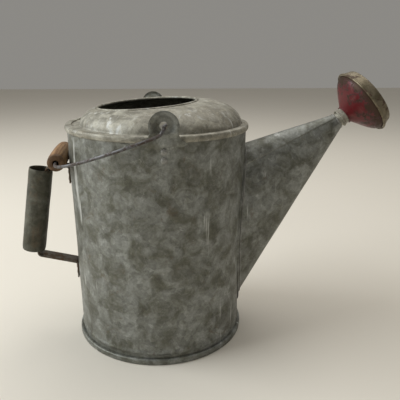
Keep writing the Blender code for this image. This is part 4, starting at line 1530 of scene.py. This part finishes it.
@dataclass
class Bail:
    """The wire bail, laid back, and its turned wooden grip."""

    datum: Datum
    steel: bpy.types.Material
    wood: bpy.types.Material
    wire_radius: float = 0.0017
    ear_sheet: float = 0.0014
    eye_radius: float = 0.0152
    play: float = 0.0018  # the wire hangs this far under the eye's middle
    dip: float = 0.0050
    hook: float = 0.0043
    bend: float = 0.0028
    hook_room: float = 0.0010
    straight: float = 0.0030
    overshoot: float = 0.0002  # of the smoothed bend
    corner: float = 0.0050
    corner_marks: tuple[Colour, ...] = ((0.7, 0.0, 0.10), (0.2, 0.020, 0.50), (0.0, 0.065, 1.0))
    grip_radius: float = 0.0105
    bore_radius: float = 0.0032
    taper: float = 0.0012  # grip's radius lost at its ends
    grooves: tuple[Colour, ...] = ((0.0085, 0.0011, 0.0011), (0.0125, 0.0007, 0.00055))
    end_round: float = 0.0026
    bore_edge: float = 0.0008

    def route(self) -> list[Vector]:
        """The bail's middle line from its near end to the grip's middle."""
        low, high = node_box("bail_grip")
        middle = (low + high) / 2
        eye = node_box("ear_near")[1].z - self.eye_radius
        hole = Vector((self.datum.axis.x, 0, eye - self.play))
        away = (middle - hole).normalized()
        inner = self.datum.hoop_radius + GAP
        outer = -(node_box("bail_wire")[1].y - self.wire_radius - self.overshoot)
        behind = -(inner - self.wire_radius - self.bend - self.hook_room)
        turned_end = []
        for i in range(8):
            turn = math.pi / 2 * i / 8
            along = behind + self.bend * (1 - math.sin(turn))
            turned_end.append(hole - away * self.bend * math.cos(turn) + Vector((0, along, 0)))
        start = hole - away * self.hook + Vector((0, behind + self.bend, 0))
        passing = hole + Vector((0, -(inner + self.ear_sheet / 2), 0))
        low_point = hole - Vector((0, 0, self.dip))
        slope = middle - low_point
        bent = [hole + Vector((0, behind, 0)), passing]
        for short, onward, lower in self.corner_marks:
            along = Vector((0, outer + short * self.corner, 0))
            bent.append(hole + along + slope * onward + (low_point - hole) * lower)
        half = (high.y - low.y) / 2 + self.straight
        for i in range(1, 9):
            turn = math.pi / 2 * (0.10 + 0.90 * i / 8)
            across = -(half + (-outer - half) * math.cos(turn))
            bent.append(low_point + slope * math.sin(turn) + Vector((0, across, 0)))
        return [start, *turned_end, *smooth_route(bent, 6), middle]

    def rod(self) -> None:
        """Builds the wire."""
        half = self.route()
        other = [Vector((p.x, -p.y, p.z)) for p in half[:-1]]
        item = wire("bail_rod", half + other[::-1], self.wire_radius)
        hand_over(item, Body.BAIL, Slot.WIRE, self.steel, "bail_wire")

    def grip(self) -> None:
        """Builds the grip: a slim barrel with a groove and a small bead at each end."""
        low, high = node_box("bail_grip")
        half = (high.y - low.y) / 2
        line = []
        for i in range(81):
            along = (i / 80 * 2 - 1) * half
            share = abs(along) / half
            from_end = half - abs(along)
            radius = self.grip_radius - self.taper * share**4
            for place, width, depth in self.grooves:
                radius -= depth * math.exp(-(((from_end - place) / width) ** 2))
            to_end = max(0.0, 1 - from_end / self.end_round)
            radius -= self.end_round * (1 - math.sqrt(max(0.0, 1 - to_end**2)))
            line.append((radius, along))
        bore, edge = self.bore_radius, self.bore_edge
        section = [*line, (bore + edge, half), (bore, half - edge), (bore, edge - half)]
        section += [(bore + edge, -half), line[0]]
        item = turned("wood_grip", section, 64)
        dent(item, 0.0003, 0.02)
        put(item, grip_place())
        hand_over(item, Body.GRIP, Slot.WOOD, self.wood, "bail_grip")


def grip_place() -> Matrix:
    """The grip's frame, its Z axis along the grip."""
    low, high = node_box("bail_grip")
    return Matrix.Translation((low + high) / 2) @ Matrix.Rotation(math.pi / 2, 4, "X")


# ---------------------------------------------------------------- rear handle


@dataclass
class RearHandle:
    """The fixed rear handle: a bent strap and the rolled tube round it."""

    datum: Datum
    brown: bpy.types.Material
    dark: bpy.types.Material
    width: float = 0.0200
    sheet: float = 0.0018
    bend: float = 0.0040
    foot: float = 0.0200
    tube_radius: float = 0.0140
    tube_length: float = 0.1030
    tube_lean: float = 9.61  # degrees, its top towards the body
    tube_sheet: float = 0.0010
    seam: float = 0.0030
    top_over_tube: float = 0.0028
    arm_drop: float = 0.0055
    edge_round: float = 0.0005  # rounding of the strap's edges
    foot_tightness: float = 0.6  # the bends at the wall, as a share of the others
    curl_length: float = 0.0020  # how much of each tube end is drawn in
    curl_depth: float = 0.0005

    def tube_place(self) -> Matrix:
        """The tube's frame at its middle, its Z axis up along it."""
        low, high = node_box("handle_tube")
        lean = Matrix.Rotation(math.radians(self.tube_lean), 4, "Y")
        return Matrix.Translation((low + high) / 2) @ lean

    def strap_line(self) -> list[Vector]:
        """The strap's middle line from its upper foot's end to its lower foot's end."""
        low, high = node_box("handle_strap")
        upper = high.z - self.sheet / 2
        lower = low.z + self.foot
        inner = self.tube_radius - self.tube_sheet - GAP
        shift = math.sqrt(inner**2 - (self.width / 2) ** 2) - self.sheet / 2 - GAP
        place = self.tube_place()
        run = (place.to_3x3() @ Vector((0, 0, 1))).normalized()
        beside = (place.to_3x3() @ Vector((1, 0, 0))).normalized() * shift
        top = place.to_translation() + run * self.tube_length / 2 + beside
        top += run * ((upper - top.z) / run.z)
        end = place.to_translation() - run * (self.tube_length / 2 + self.arm_drop) + beside
        seat = GAP + self.sheet / 2
        upper_x = self.datum.axis.x - self.datum.wall_radius(upper) - seat
        lower_x = self.datum.axis.x - self.datum.wall_radius(lower) - seat
        corners = [
            Vector((upper_x, 0, upper - self.foot)), Vector((upper_x, 0, upper)), top, end,
            Vector((lower_x, 0, lower)), Vector((lower_x, 0, lower - self.foot)),
        ]
        tight = self.bend + self.sheet / 2
        at_wall = self.foot_tightness * tight
        return rounded(corners, [at_wall, tight, tight, at_wall])

    def strap(self) -> None:
        """Builds the bent strap."""
        line = self.strap_line()
        half = Vector((0, self.width / 2, 0))
        item = start_point("handle_strip")
        with edit_mode(item):
            draw_line(item, [line[0] - half, line[0], line[0] + half])
            bpy.ops.mesh.select_all(action="SELECT")
            for point, after in zip(line, line[1:]):
                bpy.ops.mesh.extrude_region_move(TRANSFORM_OT_translate={"value": after - point})
            merge_and_face_out()
        thicken(item, self.sheet, 0.0)
        soften(item, self.edge_round)
        hand_over(item, Body.CAN, Slot.STRAP, self.brown, "handle_strap")

    def tube(self) -> None:
        """Builds the rolled tube with its open seam towards the body."""
        half = self.tube_length / 2
        slit = math.asin(self.seam / 2 / self.tube_radius)
        line = []
        for i in range(25):
            along = (i / 24 * 2 - 1) * half
            curl = max(0.0, 1 - (half - abs(along)) / self.curl_length)
            line.append((self.tube_radius - self.curl_depth * curl * curl, along))
        item = turned("handle_grip", line, 72, 360 - 2 * math.degrees(slit))
        dent(item, 0.0009, 0.03)
        thicken(item, self.tube_sheet * 0.95)
        soften(item, 0.0003)
        put(item, self.tube_place() @ Matrix.Rotation(slit, 4, "Z"))
        hand_over(item, Body.CAN, Slot.DARK, self.dark, "handle_tube")


def rounded(corners: list[Vector], radii: list[float], steps: int = 8) -> list[Vector]:
    """A line through corners in an upright plane, each inner corner turned on its radius.

    Args:
        corners: The line's corners.
        radii: One radius for each inner corner.
        steps: Straight pieces of each turn.

    Returns:
        The line's points.
    """
    line = [corners[0]]
    for before, corner, after, radius in zip(corners, corners[1:], corners[2:], radii):
        back = (before - corner).normalized()
        ahead = (after - corner).normalized()
        half = back.angle(ahead) / 2
        centre = corner + (back + ahead).normalized() * radius / math.sin(half)
        start = corner + back * radius / math.tan(half) - centre
        end = corner + ahead * radius / math.tan(half) - centre
        for i in range(steps + 1):
            line.append(centre + start.normalized().slerp(end.normalized(), i / steps) * radius)
    line.append(corners[-1])
    return line


# ---------------------------------------------------------------- rivets


@dataclass
class Rivets:
    """The rivets of the ears and of the strap's feet."""

    zinc: bpy.types.Material
    head: float = 0.0013  # height of each head
    shank: float = 0.0016  # its radius
    facets: int = 24

    def section(self, radius: float, half: float) -> list[Point]:
        """A rivet's outline from its hammered end to its made head.

        Args:
            radius: Of its heads.
            half: Half of its length.

        Returns:
            (radius, height) points.
        """
        head = self.head
        line = [(0.0, -half), (radius * 0.50, head * 0.18 - half), (radius * 0.84, head * 0.60 - half)]
        line += [(radius * 0.94, head - half), (self.shank, head - half), (self.shank, half - head)]
        line += [(radius, half - head), (radius * 0.93, half - head * 0.55)]
        line += [(radius * 0.62, half - head * 0.16), (0.0, half)]
        return line

    def build(self) -> None:
        """Builds every rivet in the box that its node fills."""
        for node in sorted(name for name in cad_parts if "_rivet_" in name):
            low, high = node_box(node)
            size, middle = high - low, (low + high) / 2
            on_ear = "ear" in node
            length = size.y if on_ear else size.x
            item = turned(
                node.replace("_rivet", "_stud"), self.section(size.z / 2, length / 2), self.facets
            )
            dent(item, 0.0004, 0.003)
            if on_ear:
                lean = Matrix.Rotation(math.copysign(math.pi / 2, -middle.y), 4, "X")
            else:
                lean = Matrix.Rotation(-math.pi / 2, 4, "Y")
            put(item, Matrix.Translation(middle) @ lean)
            hand_over(item, Body.CAN, Slot.RIVET, self.zinc, node)


# ---------------------------------------------------------------- studio


@dataclass
class Studio:
    """Floor, light and camera."""

    datum: Datum
    turn: float = -8.0  # degrees, the camera's way round the can
    aside: float = 0.0512  # camera to the right of the body's axis
    away: float = 0.5854
    height: float = 0.3483
    pitch: float = 72.84  # degrees from straight down
    roll: float = 0.39
    lens: float = 43.94
    ground: float = 8.0
    window_power: float = 30.0
    ceiling_power: float = 16.0
    surround: Colour = (0.62, 0.60, 0.56)
    surround_power: float = 0.42

    def at(self, right: float, ahead: float, up: float) -> Vector:
        """A place given as the camera sees it, from the body's axis."""
        flat = Matrix.Rotation(math.radians(self.turn), 4, "Z") @ Vector((right, ahead, 0))
        return self.datum.axis + flat + Vector((0, 0, up))

    def floor(self) -> None:
        """Lays the pale floor."""
        bpy.ops.object.select_all(action="DESELECT")
        bpy.ops.mesh.primitive_plane_add(size=self.ground)
        floor = bpy.context.object
        floor.name = "pale_floor"
        floor.data.materials.append(PlainGround().make())

    def lamp(self, name: str, place: Vector, size: float, power: float, colour: Colour) -> None:
        """Hangs a square soft light that faces the can.

        Args:
            name: The light's name.
            place: Where it hangs.
            size: Its side.
            power: Its watts.
            colour: Its colour.
        """
        data = bpy.data.lights.new(name, "AREA")
        data.size = size
        data.energy = power
        data.color = colour
        light = bpy.data.objects.new(name, data)
        bpy.context.collection.objects.link(light)
        aim = self.datum.axis + Vector((0, 0, 0.15))
        light.location = place
        light.rotation_euler = (aim - place).to_track_quat("-Z", "Y").to_euler()

    def lights(self) -> None:
        """A broad window on the left, a weak fill, and an even surround."""
        self.lamp("window", self.at(-1.5, -0.2, 1.1), 1.3, self.window_power, (0.95, 0.985, 1.0))
        self.lamp("ceiling", self.at(0.3, 0.6, 1.8), 1.6, self.ceiling_power, (1.0, 0.975, 0.93))
        world = bpy.context.scene.world or bpy.data.worlds.new("surround")
        bpy.context.scene.world = world
        world.use_nodes = True
        shade = world.node_tree.nodes["Background"]
        shade.inputs["Color"].default_value = (*self.surround, 1.0)
        shade.inputs["Strength"].default_value = self.surround_power

    def camera(self) -> None:
        """Sets up the camera."""
        data = bpy.data.cameras.new("view")
        data.lens = self.lens
        data.sensor_width = 36.0
        data.clip_start = 0.01
        camera = bpy.data.objects.new("view", data)
        bpy.context.collection.objects.link(camera)
        place = Matrix.Translation(self.at(self.aside, -self.away, self.height))
        place = place @ Matrix.Rotation(math.radians(self.turn), 4, "Z")
        place = place @ Matrix.Rotation(math.radians(self.pitch), 4, "X")
        camera.matrix_world = place @ Matrix.Rotation(math.radians(self.roll), 4, "Z")
        bpy.context.scene.camera = camera
        bpy.context.scene.view_settings.view_transform = "Standard"

    def build(self) -> None:
        """Sets up the whole studio."""
        self.camera()
        self.floor()
        self.lights()


def main() -> None:
    """Builds the can, sub-assembly by sub-assembly."""
    logging.basicConfig(level=logging.INFO, format="%(name)s %(message)s")
    datum = Datum()
    Studio(datum).build()

    zinc = Galvanising("aged_zinc", (0.29, 0.30, 0.28), (0.125, 0.125, 0.098)).make()
    pale = Galvanising(
        "chalky_zinc", (0.40, 0.385, 0.325), (0.22, 0.205, 0.160), bloom_from=0.55, metallic=0.35
    ).make()
    dark = Galvanising(
        "handled_zinc", (0.13, 0.13, 0.105), (0.065, 0.063, 0.045), bloom_from=0.66, stain_from=0.5
    ).make()
    solder = Galvanising("dull_solder", (0.33, 0.33, 0.31), (0.17, 0.165, 0.15), crystal_share=0.05).make()
    stud = Galvanising("stud_zinc", (0.30, 0.30, 0.28), (0.14, 0.13, 0.11)).make()
    brown = Rusting("brown_steel", (0.16, 0.145, 0.12), (0.12, 0.07, 0.035)).make()
    steel = Rusting("drawn_steel", (0.15, 0.15, 0.155), (0.06, 0.04, 0.03), 0.52, 0.42).make()
    rose_place = datum.along_spout(datum.rose_standoff)
    red = WornPaint("old_red_paint", rose_place, Rose.bell_depth).make()
    cap = Tarnish("olive_tarnish", rose_place).make()
    low, high = node_box("bail_grip")
    wood = TurnedWood("worn_beech", grip_place(), (high.y - low.y) / 2).make()

    spout = Spout(datum, zinc, pale, solder)
    barrel = Barrel(datum, zinc, pale)
    barrel.wall(spout.middle())
    barrel.base()
    barrel.foot()
    barrel.hoop()
    breast = Breast(datum, pale)
    breast.dome()
    breast.bead()
    spout.cone()
    spout.flange()
    spout.seams()
    spout.nozzle()
    rose = Rose(datum, pale, red, cap)
    rose.socket()
    rose.bell()
    rose.face()
    rose.crimp()
    Ears(datum, zinc).build()
    bail = Bail(datum, steel, wood)
    bail.rod()
    bail.grip()
    handle = RearHandle(datum, brown, dark)
    handle.strap()
    handle.tube()
    Rivets(stud).build()


if __name__ == "__main__":
    main()
